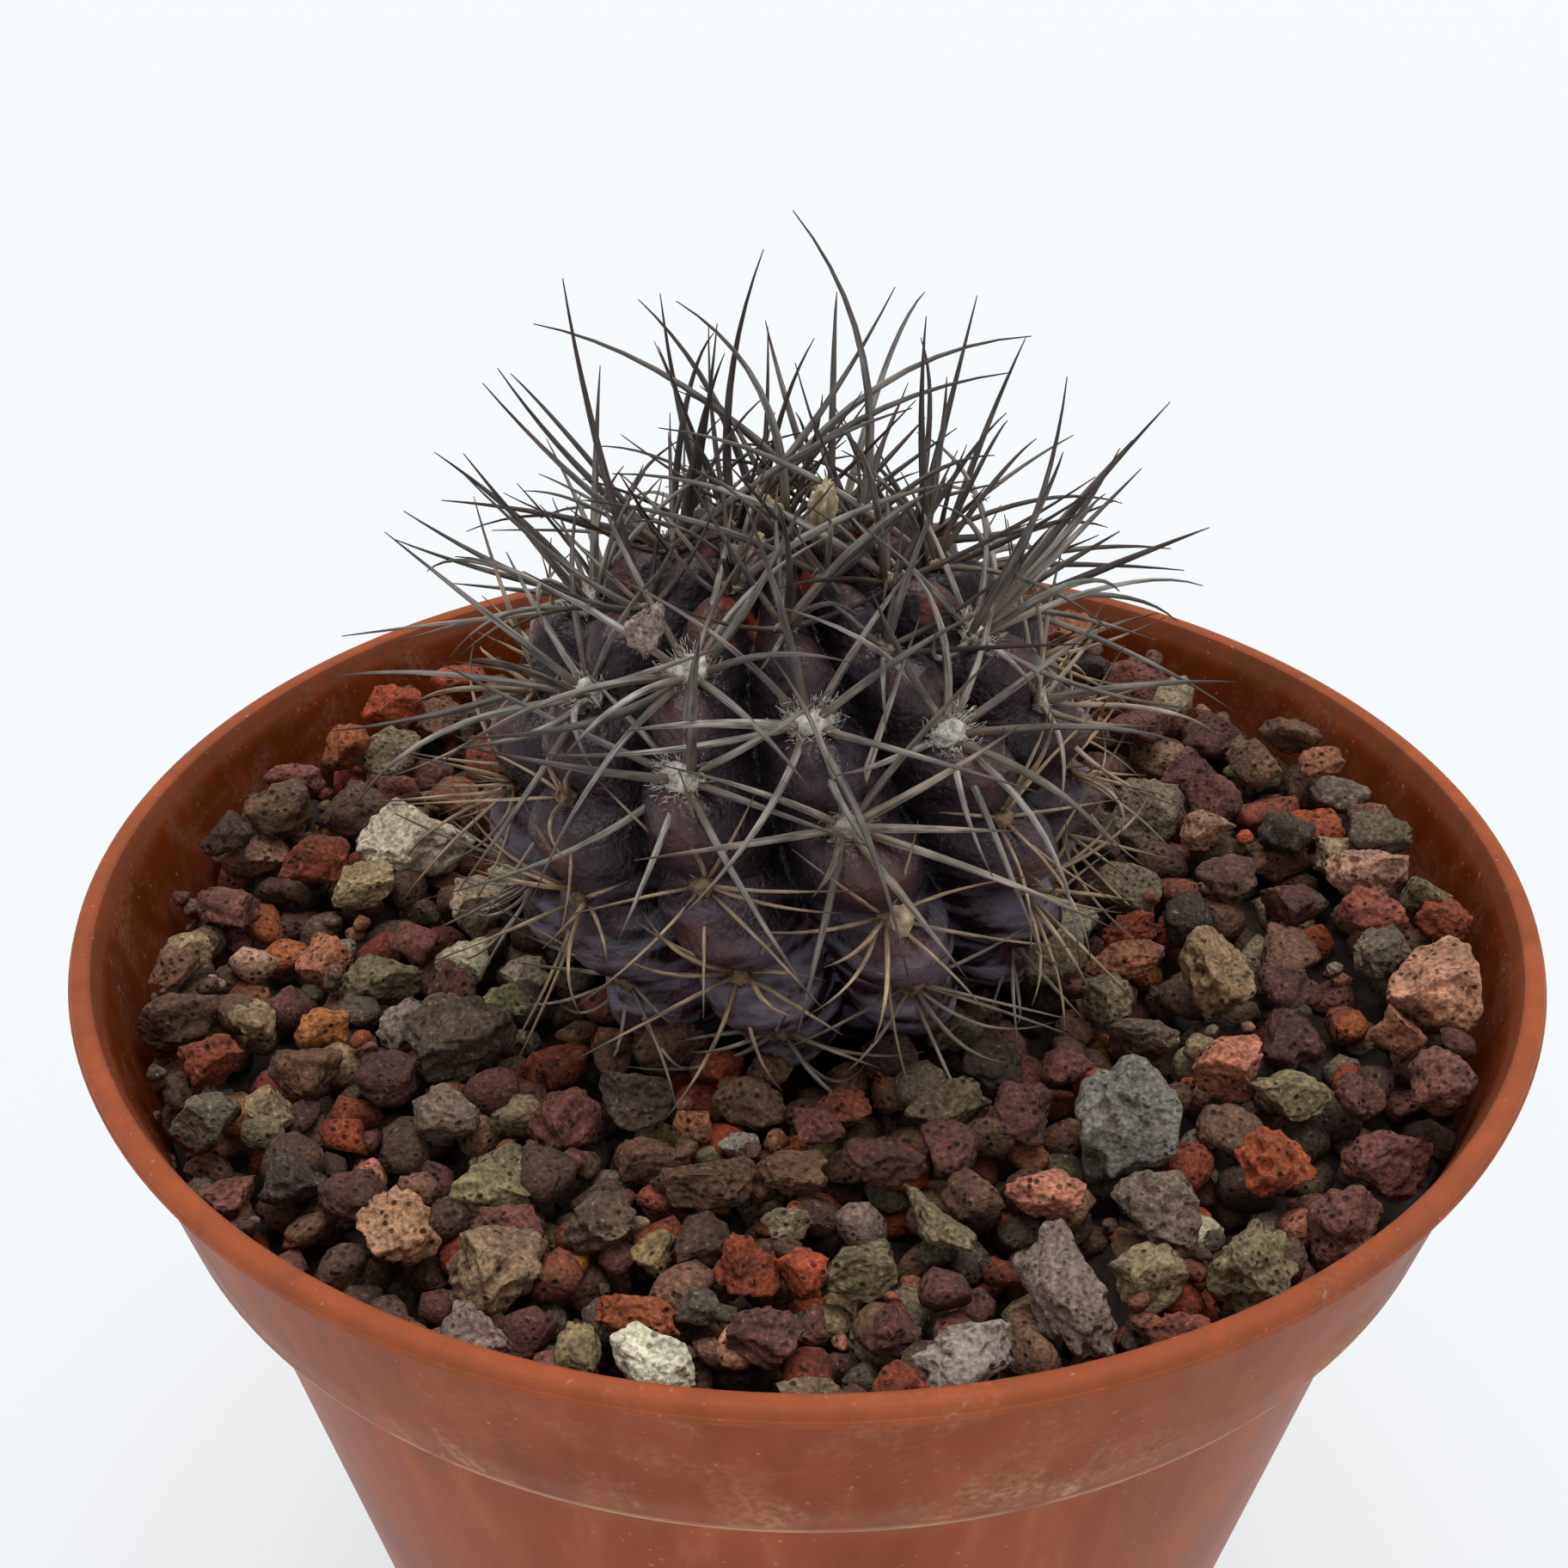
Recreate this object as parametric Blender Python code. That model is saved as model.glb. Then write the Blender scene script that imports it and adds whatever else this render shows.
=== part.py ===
"""Potted round cactus.

A thin moulded plastic pot holds potting mix under a layer of crushed volcanic stone. A dark
globular stem stands in it, with a woolly areole and its spines on each tubercle of each rib.
Units are metres and +Z is up. The origin is the centre of the pot's standing face.
"""

import math

import bmesh
import bpy
import numpy as np
from mathutils import Matrix, Vector, noise

MM = 0.001
GAP = 0.3 * MM

# Pot
RIM_RADIUS = 52.5 * MM
POT_HEIGHT = 75.0 * MM
LIP_WIDTH = 1.7 * MM
LIP_HEIGHT = 1.5 * MM
WALL = 1.1 * MM
COLLAR_HEIGHT = 15.0 * MM
COLLAR_STEP = 0.8 * MM
COLLAR_FOOT_RADIUS = 47.4 * MM
FOOT_RADIUS = 33.5 * MM
FOOT_RING_WIDTH = 2.6 * MM
FLOOR_RISE = 1.5 * MM
FLOOR_THICKNESS = 1.3 * MM
POT_SEGMENTS = 48
DRAIN_HOLES = 6
DRAIN_RADIUS = 3.0 * MM
DRAIN_CIRCLE = 20.0 * MM
DRILL_DEPTH = 12.0 * MM

# Filling
MIX_TOP = POT_HEIGHT - 13.0 * MM
GRAVEL_LEVEL = POT_HEIGHT - 6.4 * MM
GRAVEL_ROUGHNESS = 0.8 * MM
GRAVEL_RINGS = 9
GRAVEL_EDGE_DROP = 1.2 * MM
BROAD_BUMPS = 5.5 * MM
FINE_BUMPS = 2.7 * MM
STONE_SUNK = 0.32
STONE_MARGIN = 5.0 * MM

# Stem
STEM_CENTRE = Vector((-1.0 * MM, 2.3 * MM, POT_HEIGHT + 6.3 * MM))
STEM_RADIUS = 19.8 * MM
STEM_HALF_HEIGHT = 19.0 * MM
RIBS = 11
RIB_DEPTH = 3.2 * MM
TUBERCLE_HEIGHT = 1.3 * MM
RIB_TWIST = -0.35
GLOBE_FOOT = math.radians(-37)
ROOT_DEPTH = 20.5 * MM
ROOT_TIP_RADIUS = 0.8 * MM
ROOT_TAPER = 1.3

# Areoles and spines
AREOLE_START = (math.radians(4), math.radians(43))
AREOLE_SPACING = math.radians(20)
ROWS_ROUND = 4
LOWEST_AREOLE = math.radians(2)
HIGHEST_AREOLE = math.radians(74)
PAD_RADIUS = 1.6 * MM
PAD_HEIGHT = 0.8 * MM
AREOLE_TILT = math.radians(12)
SPINE_FOOT_CIRCLE = 0.2 * MM
SPINE_BASE_RADIUS = 0.40 * MM
SPINE_TIP_RADIUS = 0.09 * MM
SPINE_CLEARANCE = 1.1 * MM
SPINE_STEPS = 2
LINE_SAMPLES = 14
SPINE_TRIES = 24
SPINE_SWING = math.radians(7)

# Larger stones on the gravel: place, length, width, height in mm, turn in degrees, colour
STONES = {
    "stone_grey_green": (21.0, -23.5, 9.2, 7.2, 6.2, 72, "#7d8078"),
    "stone_salmon_rim": (43.4, -12.4, 7.2, 6.2, 5.0, 10, "#b0715c"),
    "stone_orange_red": (29.6, -28.6, 6.0, 5.2, 5.0, 60, "#9a4a30"),
    "stone_olive_porous": (27.0, -36.8, 6.0, 5.2, 4.8, 40, "#7f7c66"),
    "stone_brown_faceted": (36.8, -27.6, 5.8, 5.2, 4.8, 25, "#6f5048"),
    "stone_lilac_long": (15.4, -38.6, 9.0, 5.2, 4.2, 104, "#86787a"),
    "stone_salmon": (28.4, -18.6, 5.4, 4.8, 4.6, 20, "#a97b68"),
    "stone_tan_porous": (29.0, -9.0, 7.0, 5.0, 5.4, 95, "#978c74"),
    "stone_mauve_wedge": (21.6, -31.6, 6.0, 5.0, 4.4, 150, "#6c5f64"),
    "stone_cream_large": (-30.4, 10.0, 9.4, 6.6, 6.0, 10, "#c9bea4"),
    "stone_dark_grey": (-24.0, -13.6, 7.6, 6.2, 5.6, 15, "#4c4a48"),
    "stone_beige_porous": (-19.0, -36.0, 6.8, 5.6, 5.2, 30, "#9a8878"),
    "stone_pink_brown": (-25.6, -33.0, 5.4, 5.0, 4.8, 0, "#976b60"),
    "stone_white_flat": (8.6, -44.0, 6.8, 4.2, 3.4, 8, "#b3aca8"),
}


def linear(value):
    """One sRGB channel from 0 to 1 as a linear value."""
    return value / 12.92 if value <= 0.04045 else ((value + 0.055) / 1.055) ** 2.4


def material(name, colour, roughness):
    """A Principled material with an sRGB hex colour."""
    made = bpy.data.materials.get(name) or bpy.data.materials.new(name)
    made.use_nodes = True
    channels = [linear(int(colour[i : i + 2], 16) / 255) for i in (1, 3, 5)]
    shader = made.node_tree.nodes["Principled BSDF"]
    shader.inputs["Base Color"].default_value = (*channels, 1.0)
    shader.inputs["Roughness"].default_value = roughness
    shader.inputs["Metallic"].default_value = 0.0
    made.diffuse_color = (*channels, 1.0)
    return made


def add_object(name, bm, finish, smooth=True):
    """Turns a finished bmesh into a named object with one material."""
    mesh = bpy.data.meshes.new(name)
    bm.to_mesh(mesh)
    bm.free()
    if smooth:
        mesh.shade_smooth()
        mesh.set_sharp_from_angle(angle=math.radians(40))
    mesh.materials.append(finish)
    made = bpy.data.objects.new(name, mesh)
    bpy.context.scene.collection.objects.link(made)
    return made


def turned(profile, segments=POT_SEGMENTS):
    """A closed solid turned about Z from (radius, height) points."""
    bm = bmesh.new()
    verts = [bm.verts.new((radius, 0.0, height)) for radius, height in profile]
    edges = [bm.edges.new((a, b)) for a, b in zip(verts, verts[1:])]
    if profile[0][0] > 0.0:
        edges.append(bm.edges.new((verts[-1], verts[0])))
    bmesh.ops.spin(
        bm,
        geom=verts + edges,
        cent=(0.0, 0.0, 0.0),
        axis=(0.0, 0.0, 1.0),
        angle=math.tau,
        steps=segments,
        use_merge=True,
    )
    bmesh.ops.remove_doubles(bm, verts=bm.verts, dist=1e-6)
    bmesh.ops.recalc_face_normals(bm, faces=bm.faces)
    return bm


# ---- Pot ----


def body_radius(height):
    """Outer radius of the tapered body below the collar."""
    top = POT_HEIGHT - COLLAR_HEIGHT
    share = height / top
    return FOOT_RADIUS + (COLLAR_FOOT_RADIUS - COLLAR_STEP - FOOT_RADIUS) * share


def collar_radius(height):
    """Outer radius of the collar, the wider band under the lip."""
    share = (height - POT_HEIGHT + COLLAR_HEIGHT) / COLLAR_HEIGHT
    return COLLAR_FOOT_RADIUS + (RIM_RADIUS - COLLAR_STEP - COLLAR_FOOT_RADIUS) * share


def inner_radius(height):
    """Radius of the pot's inner wall."""
    if height > POT_HEIGHT - COLLAR_HEIGHT:
        return collar_radius(height) - WALL
    return body_radius(height) - WALL


def make_pot():
    edge = 0.4 * MM
    collar_foot = POT_HEIGHT - COLLAR_HEIGHT
    lip_under = POT_HEIGHT - LIP_HEIGHT
    floor_top = FLOOR_RISE + FLOOR_THICKNESS
    profile = [
        (0.0, FLOOR_RISE),
        (FOOT_RADIUS - FOOT_RING_WIDTH, FLOOR_RISE),
        (FOOT_RADIUS - FOOT_RING_WIDTH, 0.0),
        (FOOT_RADIUS - edge, 0.0),
        (body_radius(edge), edge),
        (body_radius(collar_foot - edge), collar_foot - edge),
        (COLLAR_FOOT_RADIUS, collar_foot),
        (collar_radius(lip_under), lip_under),
        (RIM_RADIUS, lip_under + 0.2 * MM),
        (RIM_RADIUS, POT_HEIGHT - edge),
        (RIM_RADIUS - edge, POT_HEIGHT),
        (RIM_RADIUS - LIP_WIDTH + edge, POT_HEIGHT),
        (RIM_RADIUS - LIP_WIDTH, POT_HEIGHT - edge),
        (inner_radius(lip_under), lip_under - edge),
        (inner_radius(collar_foot + edge), collar_foot + edge),
        (inner_radius(collar_foot - WALL), collar_foot - WALL),
        (inner_radius(floor_top), floor_top),
        (0.0, floor_top),
    ]
    pot = add_object("pot", turned(profile), material("terracotta_plastic", "#92452b", 0.42))
    for i in range(DRAIN_HOLES):
        turn = math.tau * (i + 0.5) / DRAIN_HOLES
        drill = bmesh.new()
        bmesh.ops.create_cone(
            drill,
            cap_ends=True,
            segments=12,
            radius1=DRAIN_RADIUS,
            radius2=DRAIN_RADIUS,
            depth=DRILL_DEPTH,
            matrix=Matrix.Translation(
                (DRAIN_CIRCLE * math.cos(turn), DRAIN_CIRCLE * math.sin(turn), FLOOR_RISE)
            ),
        )
        cut_away(pot, add_object(f"drain_drill_{i + 1}", drill, pot.data.materials[0]))


def cut_away(target, cutter):
    """Cuts the cutter's shape from the target and leaves the cutter as a guide."""
    cutter.hide_render = True
    cutter.display_type = "WIRE"
    cut = target.modifiers.new(cutter.name, "BOOLEAN")
    cut.operation = "DIFFERENCE"
    cut.object = cutter


# ---- Stem ----


def rib_position(turn, latitude):
    """(rib, share): the nearest rib and how far off its crest, from -0.5 to 0.5 of a spacing."""
    start_turn, start_latitude = AREOLE_START
    along = (turn - start_turn - RIB_TWIST * (latitude - start_latitude)) / (math.tau / RIBS)
    return round(along), along - round(along)


def areole_latitude(rib, row):
    return AREOLE_START[1] - AREOLE_SPACING * (row + rib * ROWS_ROUND / RIBS)


def tubercle_share(rib, latitude):
    """Place between two areoles along a rib: 0 at an areole, growing downwards to 1."""
    return ((areole_latitude(rib, 0) - latitude) / AREOLE_SPACING) % 1.0


def relief(turn, latitude):
    """Height of the skin above the plain globe, from grooves, ribs and tubercles."""
    rib, off_crest = rib_position(turn, latitude)
    crest = math.cos(math.pi * off_crest)
    fade = math.cos(latitude) ** 0.6
    chin = math.sin(math.pi * tubercle_share(rib, latitude)) ** 1.5
    return fade * (crest * (TUBERCLE_HEIGHT * chin + RIB_DEPTH) - RIB_DEPTH)


def globe_point(turn, latitude, lift=0.0):
    """A point of the stem's skin, raised by lift. Turn 0 faces -Y and grows towards +X."""
    grown = relief(turn, latitude) + lift
    across = (STEM_RADIUS + grown) * math.cos(latitude)
    height = (STEM_HALF_HEIGHT + grown) * math.sin(latitude)
    return STEM_CENTRE + Vector((across * math.sin(turn), -across * math.cos(turn), height))


def root_radius(share):
    """Largest radius of the buried neck and tap root, 0 at the globe's foot and 1 at the tip."""
    top = STEM_RADIUS * math.cos(GLOBE_FOOT)
    return ROOT_TIP_RADIUS + (top - ROOT_TIP_RADIUS) * (1.0 - share) ** ROOT_TAPER


def root_height(share):
    top = STEM_CENTRE.z + STEM_HALF_HEIGHT * math.sin(GLOBE_FOOT)
    return top - share * ROOT_DEPTH


def make_stem():
    bm = bmesh.new()
    bmesh.ops.create_uvsphere(bm, u_segments=RIBS * 4, v_segments=22, radius=1.0)
    for vert in bm.verts:
        latitude = math.asin(max(-1.0, min(1.0, vert.co.z)))
        turn = math.atan2(vert.co.x, -vert.co.y)
        if latitude > GLOBE_FOOT:
            vert.co = globe_point(turn, latitude)
            continue
        share = (GLOBE_FOOT - latitude) / (GLOBE_FOOT + math.pi / 2)
        rim = globe_point(turn, GLOBE_FOOT) - STEM_CENTRE
        shrink = root_radius(share) / root_radius(0.0)
        at_tip = 1.0 - share**8
        vert.co = STEM_CENTRE + Vector((rim.x * shrink * at_tip, rim.y * shrink * at_tip, 0.0))
        vert.co.z = root_height(share)
    bmesh.ops.recalc_face_normals(bm, faces=bm.faces)
    add_object("stem", bm, material("cactus_skin", "#3a2a33", 0.55))


# ---- Potting mix and gravel ----


def make_potting_mix():
    floor_top = FLOOR_RISE + FLOOR_THICKNESS + GAP
    shoulder = POT_HEIGHT - COLLAR_HEIGHT - WALL
    profile = [
        (0.0, floor_top),
        (inner_radius(floor_top) - 1.5 * GAP, floor_top),
        (inner_radius(shoulder) - 1.5 * GAP, shoulder),
        (inner_radius(MIX_TOP) - 3.0 * GAP, MIX_TOP),
        (0.0, MIX_TOP),
    ]
    mix = add_object("potting_mix", turned(profile), material("peat_mix", "#2e241e", 0.95))
    at_top = next(s / 100 for s in range(100) if root_height(s / 100) < MIX_TOP)
    depth = MIX_TOP - root_height(1.0)
    socket = bmesh.new()
    bmesh.ops.create_cone(
        socket,
        cap_ends=True,
        segments=24,
        radius1=root_radius(1.0) + 4 * GAP,
        radius2=root_radius(at_top) + 6 * GAP,
        depth=depth + 4 * GAP,
        matrix=Matrix.Translation((STEM_CENTRE.x, STEM_CENTRE.y, MIX_TOP - depth / 2)),
    )
    cut_away(mix, add_object("root_socket_drill", socket, mix.data.materials[0]))


def stone_centre(spec):
    """Centre of a larger stone, whose foot is a little below the gravel's level."""
    x, y, _, _, height = (value * MM for value in spec[:5])
    return Vector((x, y, GRAVEL_LEVEL + STONE_SUNK * height))


def gravel_top(x, y):
    """Height of the gravel at a place: uneven, lower along the wall and under the larger stones."""
    broad = noise.noise(Vector((x, y, 0.0)) / BROAD_BUMPS)
    fine = noise.noise(Vector((y, x, 0.0)) / FINE_BUMPS + Vector((0.0, 0.0, 3.3)))
    height = GRAVEL_LEVEL + GRAVEL_ROUGHNESS * (broad + fine)
    for spec in STONES.values():
        centre = stone_centre(spec)
        reach = 0.5 * spec[2] * MM + STONE_MARGIN
        if math.hypot(x - centre.x, y - centre.y) < reach:
            height = min(height, centre.z - 0.56 * spec[4] * MM - GAP)
    return height


def make_gravel_bed():
    """The many small stones as one uneven ring round the stem's foot."""
    bottom = MIX_TOP + GAP
    hole = root_radius(0.0) + 4 * GAP
    hole_foot = hole - 3.0 * MM
    outer_low = inner_radius(bottom) - 2.0 * GAP
    outer_top = inner_radius(GRAVEL_LEVEL) - 4.0 * GAP
    tops = [hole + (outer_top - hole) * i / GRAVEL_RINGS for i in range(GRAVEL_RINGS + 1)]
    profile = [(hole_foot, bottom), (outer_low, bottom)]
    profile += [(radius, GRAVEL_LEVEL) for radius in reversed(tops)]
    bm = turned(profile)
    for vert in bm.verts:
        on_top = vert.co.z > 0.5 * (bottom + GRAVEL_LEVEL)
        radius = math.hypot(vert.co.x, vert.co.y)
        share = min(1.0, (radius - hole_foot) / (outer_low - hole_foot))
        vert.co.x += STEM_CENTRE.x * (1.0 - share)
        vert.co.y += STEM_CENTRE.y * (1.0 - share)
        if on_top:
            edge_drop = GRAVEL_EDGE_DROP if radius > tops[-2] + GAP else 0.0
            vert.co.z = gravel_top(vert.co.x, vert.co.y) - edge_drop
    add_object("gravel_bed", bm, material("volcanic_gravel", "#5f4a42", 0.9), smooth=False)


def rough_lump(size, seed, subdivisions=2, roughness=0.16):
    """A bmesh lump about the origin with the given length, width and height."""
    bm = bmesh.new()
    bmesh.ops.create_icosphere(bm, subdivisions=subdivisions, radius=0.5)
    for vert in bm.verts:
        vert.co *= 1.0 + roughness * noise.noise(vert.co * 3.1 + Vector((seed * 7.3, seed, 0.0)))
    bmesh.ops.scale(bm, vec=size, verts=bm.verts)
    return bm


def make_stones():
    for seed, (name, spec) in enumerate(STONES.items(), 1):
        size = [value * MM for value in spec[2:5]]
        bm = rough_lump(size, seed)
        place = Matrix.Translation(stone_centre(spec)) @ Matrix.Rotation(math.radians(spec[5]), 4, "Z")
        bmesh.ops.transform(bm, matrix=place, verts=bm.verts)
        add_object(name, bm, material(name + "_rock", spec[6], 0.9), smooth=False)


# ---- Areoles and spines ----


def spine_line(root, heading, length, rise):
    """Points along a spine that sets out along its heading and curves towards rise."""
    points = []
    for i in range(1, SPINE_STEPS + 1):
        share = i / SPINE_STEPS
        points.append(root + length * (share * heading + share * share * rise))
    return points


def along(points, root):
    """Closely spaced points on a spine, for measuring distances."""
    path = [root, *points]
    close = []
    for a, b in zip(path, path[1:]):
        close += [a.lerp(b, k / LINE_SAMPLES) for k in range(LINE_SAMPLES)]
    return np.array([*close, points[-1]])


def nearest(line, others):
    """The least distance from a spine's points to any of the other points."""
    return np.linalg.norm(line[:, None] - others[None], axis=2).min()


def touches(line, obstacles, pads):
    """True where a spine comes too near another piece, the skin, the stones or the gravel."""
    if min(nearest(line, other) for other in obstacles) < SPINE_CLEARANCE:
        return True
    if nearest(line, pads) < PAD_RADIUS + SPINE_CLEARANCE - 0.3 * MM:
        return True
    outward = line - np.array(STEM_CENTRE)
    scaled = outward / np.array((STEM_RADIUS, STEM_RADIUS, STEM_HALF_HEIGHT))
    clear_of_skin = 1.0 + (TUBERCLE_HEIGHT + 0.6 * MM) / STEM_RADIUS
    if (np.linalg.norm(scaled[LINE_SAMPLES // 2 :], axis=1) < clear_of_skin).any():
        return True
    low = line[:, 2] < GRAVEL_LEVEL + 2.2 * MM
    if low.any():
        return True
    for spec in STONES.values():
        half = np.array([spec[2] / 2 + 0.7, spec[2] / 2 + 0.7, spec[4] / 2 + 0.7]) * MM
        if (np.linalg.norm((line - np.array(stone_centre(spec))) / half, axis=1) < 1.0).any():
            return True
    return False


def areoles():
    """(latitude, turn) of each areole, from the crown down."""
    found = []
    for rib in range(RIBS):
        for row in range(-5, 6):
            latitude = areole_latitude(rib, row)
            if LOWEST_AREOLE < latitude < HIGHEST_AREOLE:
                turn = AREOLE_START[0] + math.tau * rib / RIBS
                turn += RIB_TWIST * (latitude - AREOLE_START[1])
                found.append((latitude, turn))
    return sorted(found, reverse=True)


def areole_seat(latitude, turn):
    """(centre, outward, upward, pad radius) of the woolly pad that sits on a tubercle."""
    pad_radius = PAD_RADIUS * (1.0 - 0.3 * max(0.0, math.sin(latitude)) ** 4)
    crest = globe_point(turn, latitude)
    flat = Vector((math.sin(turn), -math.cos(turn), 0.0))
    outward = flat * math.cos(latitude + AREOLE_TILT)
    outward += Vector((0.0, 0.0, math.sin(latitude + AREOLE_TILT)))
    upward = Vector((0.0, 0.0, 1.0)) - outward * outward.z
    upward.normalize()
    around = [
        globe_point(turn + s * pad_radius / (STEM_RADIUS * math.cos(latitude)), latitude + r * 0.09)
        for s in (-1.0, 0.0, 1.0)
        for r in (-1.0, 0.0, 1.0)
    ]
    stand_off = max((point - crest).dot(outward) for point in around) + PAD_HEIGHT + 1.5 * GAP
    return crest + outward * stand_off, outward, upward, pad_radius


def make_spine_cluster(number, latitude, turn, obstacles, pads):
    """One woolly areole with its spines, grown as a single piece."""
    draw = np.random.default_rng(1000 + number)
    centre, outward, upward, pad_radius = areole_seat(latitude, turn)
    flat = Vector((math.sin(turn), -math.cos(turn), 0.0))
    sideways = upward.cross(outward)
    frame = Matrix((sideways, upward, outward)).transposed()

    bm = bmesh.new()
    bmesh.ops.create_icosphere(bm, subdivisions=1, radius=1.0)
    bmesh.ops.scale(bm, vec=(pad_radius, pad_radius, PAD_HEIGHT), verts=bm.verts)
    bmesh.ops.transform(bm, matrix=Matrix.Translation(centre) @ frame.to_4x4(), verts=bm.verts)
    bm.faces.ensure_lookup_table()
    roots = [face for face in bm.faces if (face.calc_center_median() - centre).dot(outward) > 0.0]
    for face in roots:
        inner_circle = 2.0 * face.calc_area() / face.calc_perimeter()
        bmesh.ops.inset_individual(bm, faces=[face], thickness=inner_circle - SPINE_FOOT_CIRCLE)

    youth = max(0.0, min(1.0, (latitude - math.radians(5)) / math.radians(45)))
    grown = []
    for face in roots:
        root = face.calc_center_median()
        lean = (root - centre).normalized()
        radial = lean - outward * lean.dot(outward)
        steep = 0.25 + 1.1 * max(0.0, lean.dot(outward) - 0.35)
        length = (12.0 + 9.0 * youth) * MM * draw.uniform(0.85, 1.15)
        length *= 1.0 + 0.25 * (lean.dot(outward) > 0.75)
        for attempt in range(SPINE_TRIES):
            swing = SPINE_SWING * ((attempt + 1) // 2) * (-1) ** attempt
            heading = Matrix.Rotation(swing, 3, outward) @ radial.normalized()
            heading = (heading + outward * (steep + 0.05 * attempt)).normalized()
            rise = Vector((0.0, 0.0, 0.16 + 0.1 * youth)) - flat * 0.12 * youth
            points = spine_line(root, heading, length * (1.0 - 0.015 * attempt), rise)
            line = along(points, root)
            if not touches(line[1:], obstacles, pads):
                break
        else:
            continue
        grown.append(line[1:])
        grow_spine(bm, face, root, points)
    obstacles += grown
    add_object(f"areole_spines_{number:02d}", bm, material("grey_spine", "#6e675f", 0.6))


def grow_spine(bm, face, root, points):
    """Extrudes a face of the areole along a spine, tapering it to a point."""
    before = root
    for i, point in enumerate(points, 1):
        face = bmesh.ops.extrude_discrete_faces(bm, faces=[face])["faces"][0]
        share = i / len(points)
        radius = SPINE_BASE_RADIUS + (SPINE_TIP_RADIUS - SPINE_BASE_RADIUS) * share
        middle = face.calc_center_median()
        turn = face.normal.rotation_difference((point - before).normalized())
        for vert in face.verts:
            offset = turn @ (vert.co - middle)
            vert.co = point + offset.normalized() * radius
        before = point


def make_spines():
    obstacles = [lump_points(lodged_grit_place(), 2.6 * MM), lump_points(flower_place(), 2.0 * MM)]
    found = areoles()
    centres = [areole_seat(latitude, turn)[0] for latitude, turn in found]
    for i, (latitude, turn) in enumerate(found):
        pads = np.array(centres[:i] + centres[i + 1 :])
        make_spine_cluster(i + 1, latitude, turn, obstacles, pads)


# ---- Small pieces caught on the plant ----


def lump_points(place, reach):
    """Points about a small lump, so that spines keep clear of it."""
    steps = (-0.5, 0.0, 0.5)
    return np.array([place + Vector((0, 0, s * reach)) for s in steps])


def lodged_grit_place():
    return globe_point(math.radians(-49), math.radians(49), lift=3.4 * MM)


def flower_place():
    return globe_point(math.radians(17), math.radians(8), lift=2.6 * MM)


def make_caught_pieces():
    grit = rough_lump((2.6 * MM, 2.4 * MM, 4.4 * MM), seed=31, roughness=0.25)
    bmesh.ops.translate(grit, vec=lodged_grit_place(), verts=grit.verts)
    add_object("lodged_pumice_grit", grit, material("pumice", "#8a7d79", 0.95), smooth=False)
    scrap = rough_lump((1.6 * MM, 1.2 * MM, 2.8 * MM), seed=47, subdivisions=1, roughness=0.3)
    bmesh.ops.translate(scrap, vec=flower_place(), verts=scrap.verts)
    add_object("dried_flower_scrap", scrap, material("dry_petal", "#b39a72", 0.9), smooth=False)


def main():
    for old in list(bpy.data.objects):
        bpy.data.objects.remove(old)
    make_pot()
    make_potting_mix()
    make_gravel_bed()
    make_stones()
    make_stem()
    make_caught_pieces()
    make_spines()


if __name__ == "__main__":
    main()
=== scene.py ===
"""Potted round cactus.

A dark ribbed globe with grey spines stands in crushed volcanic stone, in a round moulded
plastic pot. Lengths are metres, +Z is up and the origin is the centre of the pot's foot.
"""

import math

import bmesh
import bpy
import numpy as np
from mathutils import Matrix, Vector


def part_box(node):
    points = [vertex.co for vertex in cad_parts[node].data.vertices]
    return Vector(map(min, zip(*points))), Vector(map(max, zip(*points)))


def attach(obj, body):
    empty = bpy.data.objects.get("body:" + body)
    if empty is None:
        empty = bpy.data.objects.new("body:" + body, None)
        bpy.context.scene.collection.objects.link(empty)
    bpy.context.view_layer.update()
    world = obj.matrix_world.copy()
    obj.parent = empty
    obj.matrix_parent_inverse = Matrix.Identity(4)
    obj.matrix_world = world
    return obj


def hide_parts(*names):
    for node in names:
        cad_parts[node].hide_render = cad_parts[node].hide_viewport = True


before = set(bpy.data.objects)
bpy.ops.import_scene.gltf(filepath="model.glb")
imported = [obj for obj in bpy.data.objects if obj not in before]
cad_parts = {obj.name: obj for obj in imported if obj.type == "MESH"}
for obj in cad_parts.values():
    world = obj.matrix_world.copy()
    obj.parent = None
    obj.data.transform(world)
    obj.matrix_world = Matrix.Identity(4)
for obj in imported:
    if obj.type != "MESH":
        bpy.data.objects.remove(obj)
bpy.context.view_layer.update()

bl_info = {
    "name": "Potted Round Cactus",
    "version": (1, 0, 0),
    "blender": (4, 5, 0),
    "location": "View3D > Sidebar > Cactus",
    "description": "Builds a potted round cactus with its pot, gravel, spines and stage",
    "category": "Object",
}

MM = 0.001
BODY = "root"
FULL_TURN = math.tau

# Pot: its height and rim come from the CAD, the rest from how such a pot is moulded
POT_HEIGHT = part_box("pot")[1].z
RIM_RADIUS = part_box("pot")[1].x
LIP_WIDTH = 1.7 * MM
LIP_HEIGHT = 1.5 * MM
WALL = 1.1 * MM
COLLAR_HEIGHT = 15.0 * MM
COLLAR_STEP = 0.8 * MM
COLLAR_FOOT_RADIUS = 48.0 * MM
BODY_TOP_RADIUS = 45.8 * MM
FOOT_RADIUS = 32.8 * MM
FOOT_RING_WIDTH = 2.6 * MM
FLOOR_RISE = 1.5 * MM
FLOOR_THICKNESS = 1.3 * MM
DRAIN_HOLES = 6
DRAIN_RADIUS = 3.0 * MM
DRAIN_CIRCLE = 20.0 * MM
POT_SEGMENTS = 192

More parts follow.
